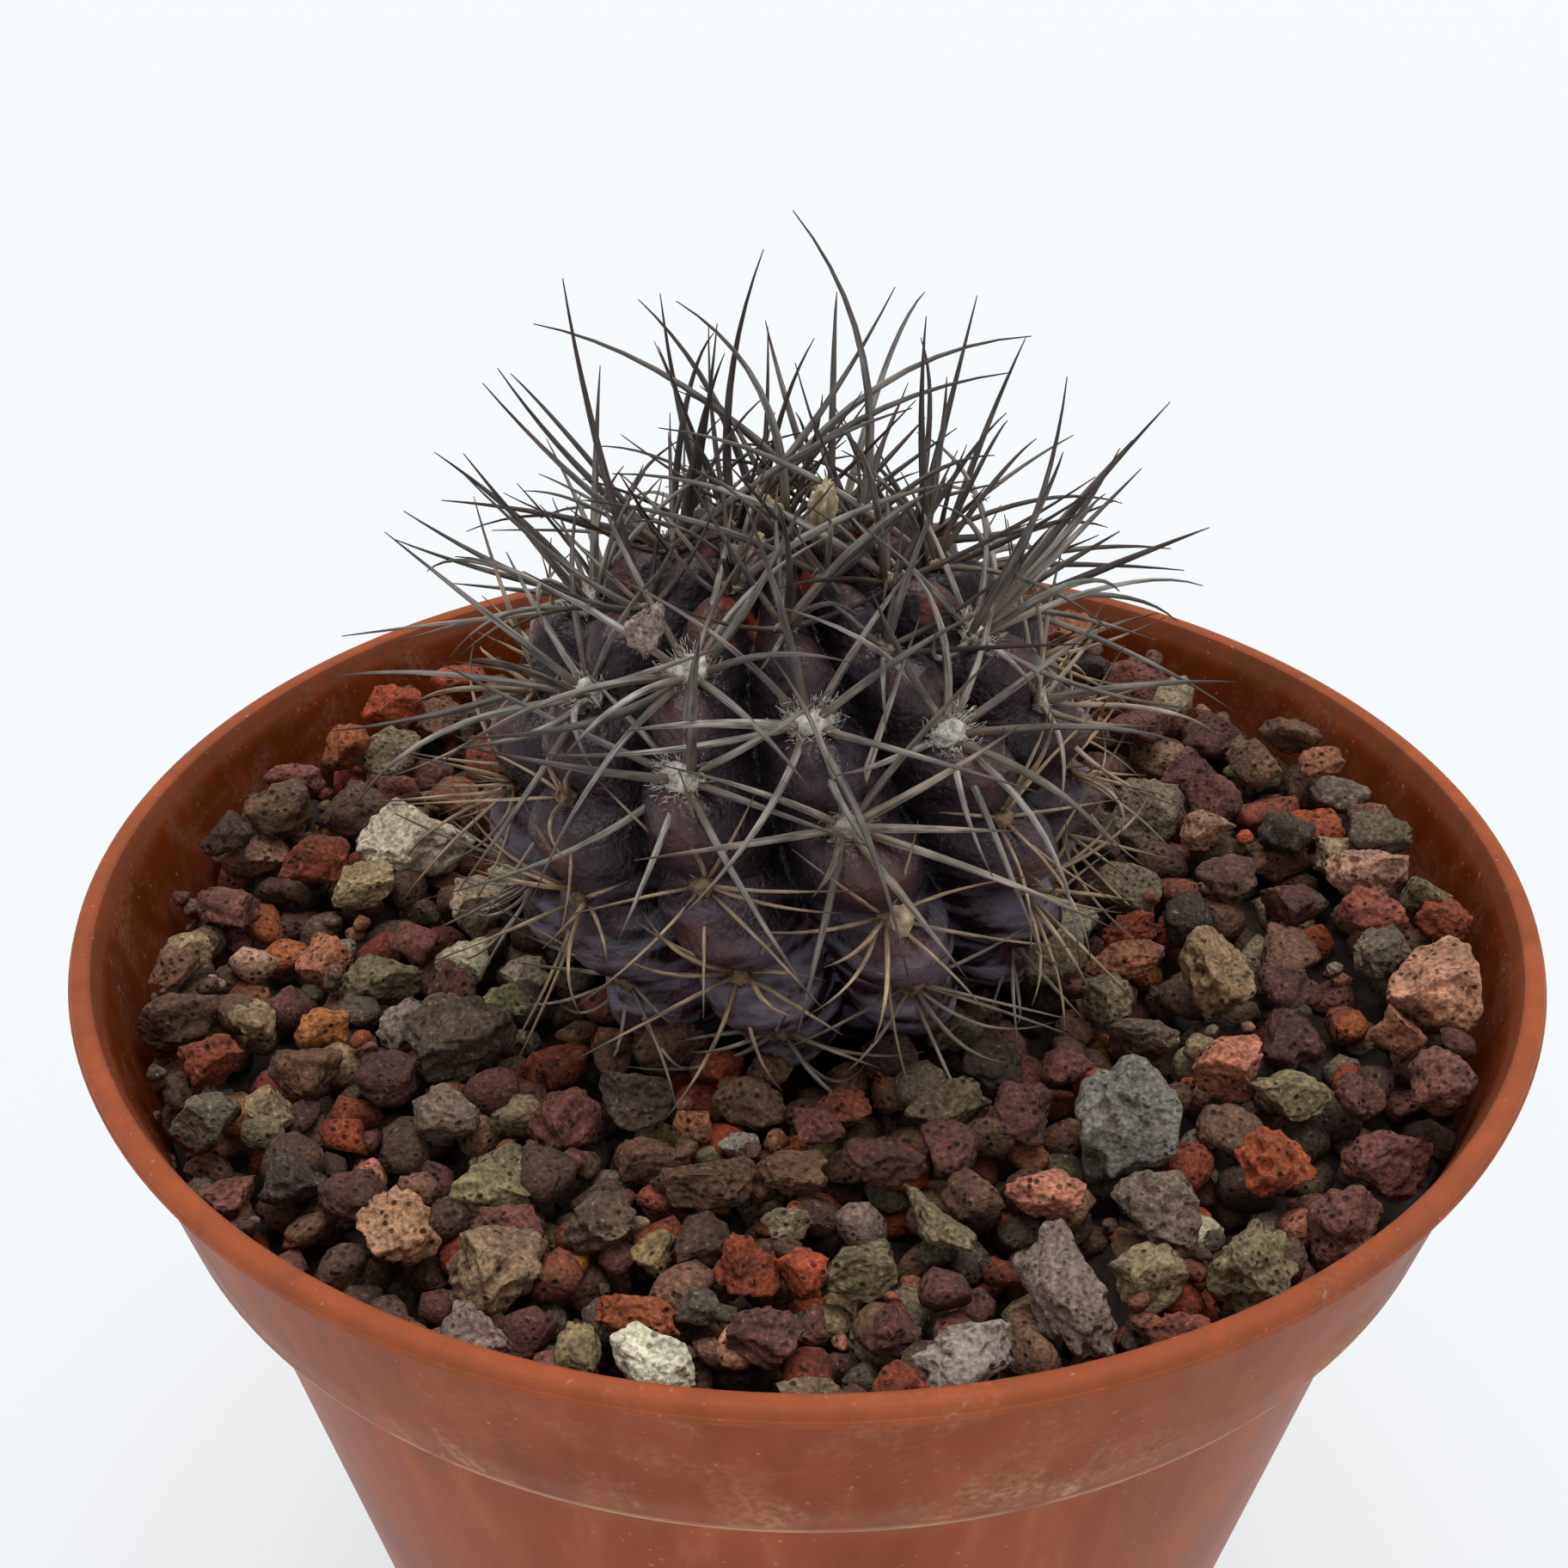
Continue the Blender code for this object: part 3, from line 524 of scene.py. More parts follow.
def make_pot_finish(settings):
    """Injection-moulded polypropylene: satin gloss, vertical wash marks and chalky limescale."""
    made, tree, shader, position = start_finish(
        "terracotta_polypropylene", IOR=1.49, Specular_IOR_Level=0.07
    )
    clouds = add(tree, "TexNoise", {"Vector": position, **noise_at(14 * MM, 4.0)})
    drawn = add(tree, "Mapping", {"Vector": position, "Scale": (1.0, 1.0, 0.035)})
    streaks = add(tree, "TexNoise", {"Vector": drawn, **noise_at(2.6 * MM, 3.0)})
    dust = add(tree, "TexNoise", {"Vector": position, **noise_at(0.5 * MM, 2.0)})
    smears = add(tree, "TexNoise", {"Vector": position, "Distortion": 1.2, **noise_at(7 * MM, 5.0)})
    light = add(tree, "MapRange", {"Value": clouds, **span(0.3, 0.7, 0.84, 1.16)})
    lines = add(tree, "MapRange", {"Value": streaks, **span(0.3, 0.7, 0.82, 1.16)})
    both = add(tree, "Math", {0: light, 1: lines}, operation="MULTIPLY")
    plastic = add(tree, "VectorMath", {0: settings.plastic, "Scale": both}, operation="SCALE")
    # Hard water has dried in thin smears on the collar, thickest at its foot
    height = add(tree, "SeparateXYZ", {0: position}).outputs["Z"]
    foot = POT_HEIGHT - COLLAR_HEIGHT
    rise = add(tree, "MapRange", {"Value": height, **span(foot - 0.5 * MM, foot + 0.1 * MM)})
    fall = add(
        tree, "MapRange", {"Value": height, **span(foot + 0.1 * MM, foot + 6 * MM, 1.0, 0.22)}
    )
    band = add(tree, "Math", {0: rise, 1: fall}, operation="MULTIPLY")
    smear = add(tree, "MapRange", {"Value": smears, **span(0.44, 0.68, 0.0, 0.62)})
    crumbs = add(tree, "MapRange", {"Value": dust, **span(0.35, 0.62, 0.15, 1.3)})
    smear = add(tree, "Math", {0: smear, 1: crumbs}, operation="MULTIPLY")
    chalk = add(tree, "Math", {0: band, 1: smear}, operation="MULTIPLY")
    # Below the collar, watering has left pale upright wash marks
    wash = add(tree, "MapRange", {"Value": streaks, **span(0.55, 0.72, 0.0, 0.17)})
    run = add(tree, "MapRange", {"Value": height, **span(foot - 45 * MM, foot - 4 * MM, 0.25, 1.0)})
    wash = add(tree, "Math", {0: wash, 1: run}, operation="MULTIPLY")
    body_only = add(tree, "Math", {0: 1.0, 1: rise}, operation="SUBTRACT")
    wash = add(tree, "Math", {0: wash, 1: body_only}, operation="MULTIPLY")
    chalk = add(tree, "Math", {0: chalk, 1: wash}, operation="MAXIMUM")
    # The edge of the collar itself keeps a nearly unbroken line of it
    edge = add(
        tree, "MapRange", {"Value": height, **span(foot + 0.25 * MM, foot + 0.8 * MM, 0.85, 0.0)}
    )
    edge = add(tree, "Math", {0: edge, 1: rise}, operation="MULTIPLY")
    broken = add(tree, "MapRange", {"Value": smears, **span(0.30, 0.50, 0.25, 1.0)})
    edge = add(tree, "Math", {0: edge, 1: broken}, operation="MULTIPLY")
    chalk = add(tree, "Math", {0: chalk, 1: edge}, operation="MAXIMUM")
    # Painted shade darkens the corner under the collar's step
    shade_under_collar = add(
        tree, "MapRange", {"Value": height, **span(foot - 1.6 * MM, foot - 0.2 * MM, 1.0, 0.55)}
    )
    above_collar_foot = add(tree, "MapRange", {"Value": height, **span(foot - 0.1 * MM, foot + 0.1 * MM)})
    # The collar is coloured a little darker than the body, and the lip a little lighter
    collar_and_lip_tone = span(POT_HEIGHT - 2.5 * MM, POT_HEIGHT - 1.5 * MM, 0.86, 1.08)
    banded_tone = add(tree, "MapRange", {"Value": height, **collar_and_lip_tone})
    banded_tone = add(tree, "Math", {0: banded_tone, 1: above_collar_foot}, operation="MULTIPLY")
    stain_and_shade = add(tree, "Math", {0: banded_tone, 1: shade_under_collar}, operation="MAXIMUM")
    # The inside is painted darker: partly a damp stain from the mix, partly painted shade under the
    # rim
    level = add(tree, "VectorMath", {0: position, 1: (1.0, 1.0, 0.0)}, operation="MULTIPLY")
    radius = add(tree, "VectorMath", {0: level}, operation="LENGTH").outputs["Value"]
    inner_foot = collar_radius(foot) - WALL
    inner_face = span(foot, POT_HEIGHT, inner_foot, collar_radius(POT_HEIGHT) - WALL)
    face = add(tree, "MapRange", {"Value": height, **inner_face})
    depth = add(tree, "Math", {0: radius, 1: face}, operation="SUBTRACT")
    inside = add(tree, "MapRange", {"Value": depth, **span(0.2 * WALL, 0.6 * WALL, 0.42, 0.0)})
    damp_stain_and_shade = add(tree, "Math", {0: inside, 1: above_collar_foot}, operation="MULTIPLY")
    undarkened = add(tree, "Math", {0: 1.0, 1: damp_stain_and_shade}, operation="SUBTRACT")
    stain_and_shade = add(tree, "Math", {0: stain_and_shade, 1: undarkened}, operation="MULTIPLY")
    plastic = add(tree, "VectorMath", {0: plastic, "Scale": stain_and_shade}, operation="SCALE")
    specks = add(tree, "MapRange", {"Value": dust, **span(0.68, 0.76, 0.0, 0.5)})
    chalk = add(tree, "Math", {0: chalk, 1: specks}, operation="MAXIMUM")
    # The lip is scuffed paler all over by handling
    scuffed = span(POT_HEIGHT - 1.8 * MM, POT_HEIGHT - 1.3 * MM, 0.0, 0.09)
    scuff = add(tree, "MapRange", {"Value": height, **scuffed})
    marks = add(tree, "Math", {0: chalk, 1: scuff}, operation="MAXIMUM")
    coat = add(tree, "Mix", {0: marks, 6: plastic, 7: (*settings.limescale, 1.0)}, data_type="RGBA")
    tree.links.new(coat.outputs[2], shader.inputs["Base Color"])
    gloss = add(tree, "MapRange", {"Value": marks, **span(0.0, 0.4, 0.36, 0.75)})
    tree.links.new(gloss.outputs[0], shader.inputs["Roughness"])
    uneven = add(tree, "TexNoise", {"Vector": position, **noise_at(1.1 * MM, 2.0)})
    bump = add(tree, "Bump", {"Height": uneven, "Strength": 0.15, "Distance": 0.1 * MM})
    tree.links.new(bump.outputs[0], shader.inputs["Normal"])
    return made


def make_skin_finish(settings):
    """Living skin of the stem: waxy, near black and violet, with a pale bloom low down."""
    made, tree, shader, position = start_finish("cactus_skin", IOR=1.45)
    crest = add(tree, "Attribute", attribute_name="crest").outputs["Fac"]
    chin = add(tree, "Attribute", attribute_name="chin").outputs["Fac"]
    climb = add(tree, "Attribute", attribute_name="climb").outputs["Fac"]
    clouds = add(tree, "TexNoise", {"Vector": position, **noise_at(5 * MM, 4.0)})
    fine = add(tree, "TexNoise", {"Vector": position, **noise_at(0.45 * MM, 2.0)})
    flat = add(tree, "Mapping", {"Vector": position, "Scale": (0.35, 0.35, 1.0)})
    wrinkles = add(tree, "TexNoise", {"Vector": flat, **noise_at(1.4 * MM, 3.0)})
    # Painted shade: the skin darkens into the grooves between the ribs, away from the crests
    depth = add(tree, "MapRange", {"Value": crest, **span(0.05, 0.75, 0.10, 1.0)})
    light = add(tree, "MapRange", {"Value": fine, **span(0.3, 0.7, 0.5, 1.6)})
    wide = add(tree, "MapRange", {"Value": clouds, **span(0.35, 0.65, 0.55, 1.45)})
    light = add(tree, "Math", {0: light, 1: wide}, operation="MULTIPLY")
    both = add(tree, "Math", {0: depth, 1: light}, operation="MULTIPLY")
    # Painted shade darkens the skin towards the crown, among the spines
    young = add(tree, "MapRange", {"Value": climb, **span(0.58, 0.84, 1.0, 0.55)})
    both = add(tree, "Math", {0: both, 1: young}, operation="MULTIPLY")
    skin = add(tree, "VectorMath", {0: settings.skin, "Scale": both}, operation="SCALE")
    # Brown on the crests and chins of the tubercles: partly corky skin, partly painted highlight
    # where they bulge out
    cork_here = add(tree, "MapRange", {"Value": clouds, **span(0.42, 0.58, 0.0, 0.5)})
    worn = add(tree, "Math", {0: crest, 1: chin}, operation="MULTIPLY")
    worn = add(tree, "MapRange", {"Value": worn, **span(0.35, 0.85)})
    cork_and_highlight = add(tree, "Math", {0: cork_here, 1: worn}, operation="MULTIPLY")
    corked_and_highlit = add(tree, "Mix", {0: cork_and_highlight, 6: skin, 7: rgba("#74493a")}, data_type="RGBA")
    # Sunburnt red round the crown, and a magenta flush low down where the skin has healed
    spots = add(tree, "TexNoise", {"Vector": position, **noise_at(3.4 * MM, 1.0)})
    spot = add(tree, "MapRange", {"Value": spots, **span(0.60, 0.68, 0.0, 0.8)})
    high = add(tree, "MapRange", {"Value": climb, **span(0.70, 0.85)})
    burnt = add(tree, "Math", {0: spot, 1: high}, operation="MULTIPLY")
    corked_and_highlit = add(tree, "Mix", {0: burnt, 6: corked_and_highlit, 7: rgba("#a3452b")}, data_type="RGBA")
    low = add(tree, "MapRange", {"Value": climb, **span(0.12, 0.42, 0.55, 0.0)})
    healed = add(tree, "Math", {0: spot, 1: low}, operation="MULTIPLY")
    corked_and_highlit = add(tree, "Mix", {0: healed, 6: corked_and_highlit, 7: rgba("#7c3158")}, data_type="RGBA")
    # Bloom and dried soil marks near the gravel
    low = add(tree, "MapRange", {"Value": climb, **span(0.10, 0.36, 1.0, 0.05)})
    worn_bloom = add(tree, "MapRange", {"Value": wrinkles, **span(0.43, 0.60)})
    bloom = add(tree, "Math", {0: low, 1: worn_bloom}, operation="MULTIPLY")
    dusted = add(tree, "Mix", {0: bloom, 6: corked_and_highlit, 7: (*settings.bloom, 1.0)}, data_type="RGBA")
    tree.links.new(dusted.outputs[2], shader.inputs["Base Color"])
    gloss = add(tree, "MapRange", {"Value": bloom, **span(0.0, 0.7, 0.34, 0.62)})
    tree.links.new(gloss.outputs[0], shader.inputs["Roughness"])
    ridges = add(tree, "Math", {0: fine, 1: wrinkles}, operation="ADD")
    bump = add(tree, "Bump", {"Height": ridges, "Strength": 0.9, "Distance": 0.22 * MM})
    tree.links.new(bump.outputs[0], shader.inputs["Normal"])
    return made


def make_spine_finish(settings):
    """Dead woody spine: fibrous grey with a dark tip when young, tan and corky when old."""
    made, tree, shader, position = start_finish("woody_spine", IOR=1.5)
    along = add(tree, "Attribute", attribute_name="along").outputs["Fac"]
    age = add(tree, "Attribute", attribute_name="age").outputs["Fac"]
    around = add(tree, "Attribute", attribute_name="around").outputs["Fac"]
    # Wood fibres run the length of the spine, some ten of them round it
    length = add(tree, "Math", {0: along, 1: 5.0}, operation="MULTIPLY")
    turn = add(tree, "Math", {0: around, 1: 9.0}, operation="MULTIPLY")
    grain = add(tree, "CombineXYZ", {0: turn, 1: length})
    streaks = add(tree, "TexNoise", {"Vector": grain, "Scale": 1.0, "Detail": 4.0})
    patches = add(tree, "TexNoise", {"Vector": position, **noise_at(3.5 * MM, 2.0)})
    tone = add(tree, "Attribute", attribute_name="tone").outputs["Fac"]
    upper = add(
        tree,
        "Mix",
        {0: tone, 6: (*settings.fresh, 1.0), 7: (*settings.young, 1.0)},
        data_type="RGBA",
    )
    wood = add(tree, "Mix", {0: age, 6: upper, 7: (*settings.old, 1.0)}, data_type="RGBA")
    light = add(tree, "MapRange", {"Value": streaks, **span(0.34, 0.64, 0.30, 1.45)})
    wide = add(tree, "MapRange", {"Value": patches, **span(0.35, 0.65, 0.6, 1.25)})
    both = add(tree, "Math", {0: light, 1: wide}, operation="MULTIPLY")
    wood = add(tree, "VectorMath", {0: wood, "Scale": both}, operation="SCALE")
    foot = add(tree, "MapRange", {"Value": along, **span(0.02, 0.24, 0.75, 0.0)})
    footed = add(tree, "Mix", {0: foot, 6: wood, 7: rgba("#7c6450")}, data_type="RGBA")
    tip = add(tree, "MapRange", {"Value": along, **span(0.55, 0.98, 0.0, 0.95)})
    tipped = add(tree, "Mix", {0: tip, 6: footed, 7: rgba("#33201b")}, data_type="RGBA")
    tree.links.new(tipped.outputs[2], shader.inputs["Base Color"])
    gloss = add(tree, "MapRange", {"Value": streaks, **span(0.3, 0.7, 0.5, 0.8)})
    tree.links.new(gloss.outputs[0], shader.inputs["Roughness"])
    bump = add(tree, "Bump", {"Height": streaks, "Strength": 0.4, "Distance": 0.06 * MM})
    tree.links.new(bump.outputs[0], shader.inputs["Normal"])
    return made


def make_wool_finish():
    """Felt of dead hairs: off-white on young areoles, thin, brown and dusty on old ones."""
    made, tree, shader, position = start_finish("areole_wool", Roughness=0.95)
    age = add(tree, "Attribute", attribute_name="age").outputs["Fac"]
    noise = add(tree, "TexNoise", {"Vector": position, **noise_at(0.6 * MM, 4.0)})
    share = add(tree, "MapRange", {"Value": noise, **span(0.35, 0.6)})
    felt = add(tree, "Mix", {0: share, 6: rgba("#968d82"), 7: rgba("#e8e4da")}, data_type="RGBA")
    old = add(tree, "Mix", {0: share, 6: rgba("#4c3a2e"), 7: rgba("#9a8468")}, data_type="RGBA")
    colour = add(tree, "Mix", {0: age, 6: felt, 7: old}, data_type="RGBA")
    tree.links.new(colour.outputs[2], shader.inputs["Base Color"])
    return made


def mottled_finish(name, dark, light, pitch, roughness, depth):
    """A matt natural surface that varies between two colours."""
    made, tree, shader, position = start_finish(name, Roughness=roughness)
    noise = add(tree, "TexNoise", {"Vector": position, **noise_at(pitch, 5.0)})
    share = add(tree, "MapRange", {"Value": noise, **span(0.3, 0.7)})
    colour = add(tree, "Mix", {0: share, 6: rgba(dark), 7: rgba(light)}, data_type="RGBA")
    tree.links.new(colour.outputs[2], shader.inputs["Base Color"])
    bump = add(tree, "Bump", {"Height": noise, "Strength": 0.8, "Distance": depth})
    tree.links.new(bump.outputs[0], shader.inputs["Normal"])
    return made


# ---- Pot ----


def body_radius(height):
    """Outer radius of the tapered body below the collar."""
    share = height / (POT_HEIGHT - COLLAR_HEIGHT)
    return FOOT_RADIUS + (BODY_TOP_RADIUS - FOOT_RADIUS) * share


def collar_radius(height):
    """Outer radius of the collar, the wider band under the lip."""
    share = (height - POT_HEIGHT + COLLAR_HEIGHT) / COLLAR_HEIGHT
    return COLLAR_FOOT_RADIUS + (RIM_RADIUS - COLLAR_STEP - COLLAR_FOOT_RADIUS) * share


def inner_radius(height):
    """Radius of the pot's inner wall."""
    if height > POT_HEIGHT - COLLAR_HEIGHT:
        return collar_radius(height) - WALL
    return body_radius(height) - WALL


def pot_profile():
    """Outline from the underside's centre, up the outside, over the lip and down the inside."""
    foot = POT_HEIGHT - COLLAR_HEIGHT
    under = POT_HEIGHT - LIP_HEIGHT
    floor_top = FLOOR_RISE + FLOOR_THICKNESS
    ring = FOOT_RADIUS - FOOT_RING_WIDTH
    soft = 0.3 * MM
    outline = [(0.0, FLOOR_RISE), (ring - 8 * MM, FLOOR_RISE), (ring - soft, FLOOR_RISE)]
    outline += [(ring, FLOOR_RISE - soft), (ring, soft), (ring + soft, 0.0)]
    outline += [(FOOT_RADIUS - 2 * soft, 0.0), (body_radius(soft), 2 * soft)]
    outline += [(body_radius(foot * i / 12), foot * i / 12) for i in range(1, 12)]
    outline += [(body_radius(foot - 0.5 * MM), foot - 0.5 * MM)]
    outline += [(body_radius(foot) + 0.15 * MM, foot - 0.2 * MM)]
    outline += [(COLLAR_FOOT_RADIUS - 0.25 * MM, foot - 0.05 * MM)]
    outline += [(collar_radius(foot + 0.25 * MM), foot + 0.25 * MM)]
    outline += [(collar_radius(foot + 3.2 * MM * i), foot + 3.2 * MM * i) for i in range(1, 5)]
    outline += [(collar_radius(under - 0.2 * MM), under - 0.2 * MM)]
    outline += [(RIM_RADIUS - 0.45 * MM, under), (RIM_RADIUS - 0.1 * MM, under + 0.2 * MM)]
    # The mould's parting line stands out as a fine bead round the lip
    outline += [(RIM_RADIUS - 0.12 * MM, under + 0.62 * MM), (RIM_RADIUS, under + 0.7 * MM)]
    outline += [(RIM_RADIUS - 0.12 * MM, under + 0.8 * MM)]
    outline += [(RIM_RADIUS - 0.16 * MM, POT_HEIGHT - 0.35 * MM)]
    outline += [(RIM_RADIUS - 0.3 * MM, POT_HEIGHT - 0.12 * MM)]
    outline += [(RIM_RADIUS - 0.6 * MM, POT_HEIGHT), (RIM_RADIUS - 1.25 * MM, POT_HEIGHT)]
    outline += [(RIM_RADIUS - 1.55 * MM, POT_HEIGHT - 0.12 * MM)]
    outline += [(RIM_RADIUS - LIP_WIDTH, POT_HEIGHT - 0.4 * MM)]
    outline += [(inner_radius(under), under - 0.3 * MM)]
    outline += [(inner_radius(foot + 3.2 * MM * i), foot + 3.2 * MM * i) for i in range(4, 0, -1)]
    outline += [(inner_radius(foot - WALL), foot - WALL)]
    outline += [(inner_radius(foot * i / 12), foot * i / 12) for i in range(11, 1, -1)]
    outline += [(inner_radius(floor_top + soft), floor_top + soft)]
    outline += [(inner_radius(floor_top) - soft, floor_top), (0.0, floor_top)]
    return outline


def make_pot(settings):
    """The moulded pot with its drain holes, and the finish of the mix in it."""
    shell = to_mesh("pot_shell", turned(pot_profile(), POT_SEGMENTS))
    drills = bmesh.new()
    for i in range(DRAIN_HOLES):
        turn = FULL_TURN * (i + 0.5) / DRAIN_HOLES
        bmesh.ops.create_cone(
            drills,
            cap_ends=True,
            segments=32,
            radius1=DRAIN_RADIUS,
            radius2=DRAIN_RADIUS,
            depth=12 * MM,
            matrix=Matrix.Translation(
                (DRAIN_CIRCLE * math.cos(turn), DRAIN_CIRCLE * math.sin(turn), FLOOR_RISE)
            ),
        )
    drill = bpy.data.objects.new("drain_drills", to_mesh("drain_drills", drills))
    solid = bpy.data.objects.new("pot_solid", shell)
    for helper in (drill, solid):
        bpy.context.scene.collection.objects.link(helper)
    cut = solid.modifiers.new("drain_holes", "BOOLEAN")
    cut.object = drill
    bpy.context.view_layer.update()
    holed = bpy.data.meshes.new_from_object(
        solid.evaluated_get(bpy.context.evaluated_depsgraph_get())
    )
    for helper in (drill, solid):
        bpy.data.objects.remove(helper)
    holed.shade_smooth()
    holed.set_sharp_from_angle(angle=math.radians(40))
    pot = fresh_object("flower_pot", holed, make_pot_finish(settings))
    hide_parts("pot")
    # Damp peat with fine roots: nearly black, with brown crumbs
    peat = mottled_finish("damp_peat", "#1b130f", "#3e2e24", 1.5 * MM, 0.95, 0.3 * MM)
    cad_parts["potting_mix"].material_slots[0].material = peat


# ---- Stones ----


def tint_of(rock, draw, pores):
    """The colour of one stone of a kind: close to it on chosen stones, freer on the others."""
    colour = np.array(linear_rgb(draw.choice(ROCKS[rock][1])))
    colour *= draw.uniform(1.0, 1.25) if pores > CHOSEN_PORES else draw.uniform(0.7, 1.45)
    return np.clip(colour * draw.uniform(0.95, 1.05, size=3), 0.0, 1.0)


def crushed(unit_points, size, turn, draw, flats, pores):
    """Points of one broken stone about the origin: flats, bumps and open pores on a ball."""
    points = unit_points.copy()
    for _ in range(flats):
        normal = draw.normal(size=3)
        normal /= np.linalg.norm(normal)
        over = points @ normal - draw.uniform(0.42, 0.78)
        points -= np.clip(over, 0.0, None)[:, None] * normal * 0.94
    for pitch, height in ((1.7, 0.10), (0.75, 0.065), (0.34, 0.04)):
        points *= 1.0 + height * ripple(unit_points, draw, pitch)[:, None]
    for _ in range(pores):
        seat = draw.normal(size=3)
        seat /= np.linalg.norm(seat)
        reach = draw.uniform(0.09, 0.24)
        near = np.linalg.norm(unit_points - seat, axis=1) / reach
        points *= 1.0 - 0.75 * reach * np.clip(1.0 - near**3, 0.0, 1.0)[:, None]
    low, high = points.min(axis=0), points.max(axis=0)
    points = (points - 0.5 * (low + high)) / (high - low) * np.asarray(size)
    lean = draw.normal(scale=math.radians(7), size=2)
    spin = Matrix.Rotation(turn, 3, "Z") @ Matrix.Rotation(lean[0], 3, "X")
    spin = np.array(spin @ Matrix.Rotation(lean[1], 3, "Y"))
    return points @ spin.T


def gravel_rise(x, y):
    """How much higher the gravel lies here than at the front: it climbs to the sides and back."""
    outward = np.clip(np.hypot(x, y) / GRAVEL_REACH, 0.0, 1.0) ** 2
    back = np.clip((y / GRAVEL_REACH + 0.75) / 0.85, 0.0, 1.0)
    return GRAVEL_SLOPE * x + EDGE_RISE * outward * back


class Ground:
    """The height of the gravel on a square grid, as stones are dropped on it."""

    def __init__(self):
        self.axis = np.arange(-GRAVEL_REACH, GRAVEL_REACH + CELL, CELL)
        x, y = np.meshgrid(self.axis, self.axis, indexing="ij")
        self.height = GRIT_LEVEL + gravel_rise(x, y)
        from_stem = np.hypot(x - STEM_CENTRE.x, y - STEM_CENTRE.y)
        self.height[(from_stem < STEM_FOOT_REACH) | (np.hypot(x, y) > GRAVEL_REACH)] = BLOCKED

    def under(self, x, y, size, turn):
        """(part of the grid, cells, dome) under a stone, the dome as half its height there."""
        half = 0.5 * max(size[:2])
        i = slice(*np.searchsorted(self.axis, (x - half, x + half)))
        j = slice(*np.searchsorted(self.axis, (y - half, y + half)))
        dx, dy = np.meshgrid(self.axis[i] - x, self.axis[j] - y, indexing="ij")
        u = (math.cos(turn) * dx + math.sin(turn) * dy) * 2.0 / size[0]
        v = (math.cos(turn) * dy - math.sin(turn) * dx) * 2.0 / size[1]
        away = u * u + v * v
        return (i, j), away < 1.0, 0.5 * size[2] * np.sqrt(np.clip(1.0 - away, 0.0, 1.0))

    def rest_height(self, x, y, size, turn):
        """Height of a stone's centre where it comes to rest, a little sunk in."""
        place, cells, dome = self.under(x, y, size, turn)
        if not cells.any():
            return BLOCKED
        return (self.height[place] + dome)[cells].max() - 0.14 * size[2]

    def cover(self, x, y, z, size, turn):
        """Raises the ground to the top of a stone whose centre is at height z."""
        place, cells, dome = self.under(x, y, size, turn)
        top = np.where(cells, z + dome, -BLOCKED)
        self.height[place] = np.maximum(self.height[place], top)

    def block(self, x, y, size, turn, share):
        """Keeps later stones off the middle of a large one."""
        place, cells, _ = self.under(x, y, [share * s for s in size], turn)
        self.height[place] = np.where(cells, BLOCKED, self.height[place])

    def drop(self, size, turn, tries, draw):
        """The lowest of several places for a stone, or None if all are taken."""
        best = (BLOCKED / 2, 0.0, 0.0)
        for _ in range(tries):
            away = math.sqrt(draw.uniform(0.1, 1.0)) * (GRAVEL_REACH - 0.4 * size[0])
            around = draw.uniform(0.0, FULL_TURN)
            x, y = away * math.cos(around), away * math.sin(around)
            best = min(best, (self.rest_height(x, y, size, turn), x, y))
        if best[0] >= BLOCKED / 2:
            return None
        self.cover(best[1], best[2], best[0], size, turn)
        return np.array((best[1], best[2], best[0]))


def stone_part(ball, unit_points, place, size, turn, rock, flats, pores, draw):
    """One stone as a part of a gathered mesh."""
    points = crushed(unit_points, size, turn, draw, flats, pores) + place
    room = collar_radius(points[:, 2]) - WALL - 0.1 * MM
    points[:, :2] *= np.minimum(1.0, room / np.hypot(points[:, 0], points[:, 1]))[:, None]
    colour = np.append(tint_of(rock, draw, pores), 1.0)
    return (ball, points, 0, {"tint": np.tile(colour, (len(points), 1))})


def random_rock(draw):
    """One kind of stone, as often as it is found in the gravel."""
    names = [name for name, _ in COMMON_ROCKS]
    share = np.array([count for _, count in COMMON_ROCKS], dtype=float)
    return names[draw.choice(len(names), p=share / share.sum())]


def random_size(longest, draw):
    """Length, width and height of a stone about that many millimetres long."""
    length = longest * draw.uniform(0.9, 1.1)
    width = length * draw.uniform(0.68, 0.95)
    return (length * MM, width * MM, width * draw.uniform(0.7, 0.98) * MM)


def over_gravel(x, y, lift):
    """A place that far over the gravel's level, with x and y in millimetres."""
    return np.array((x * MM, y * MM, GRAVEL_LEVEL + lift + gravel_rise(x * MM, y * MM)))


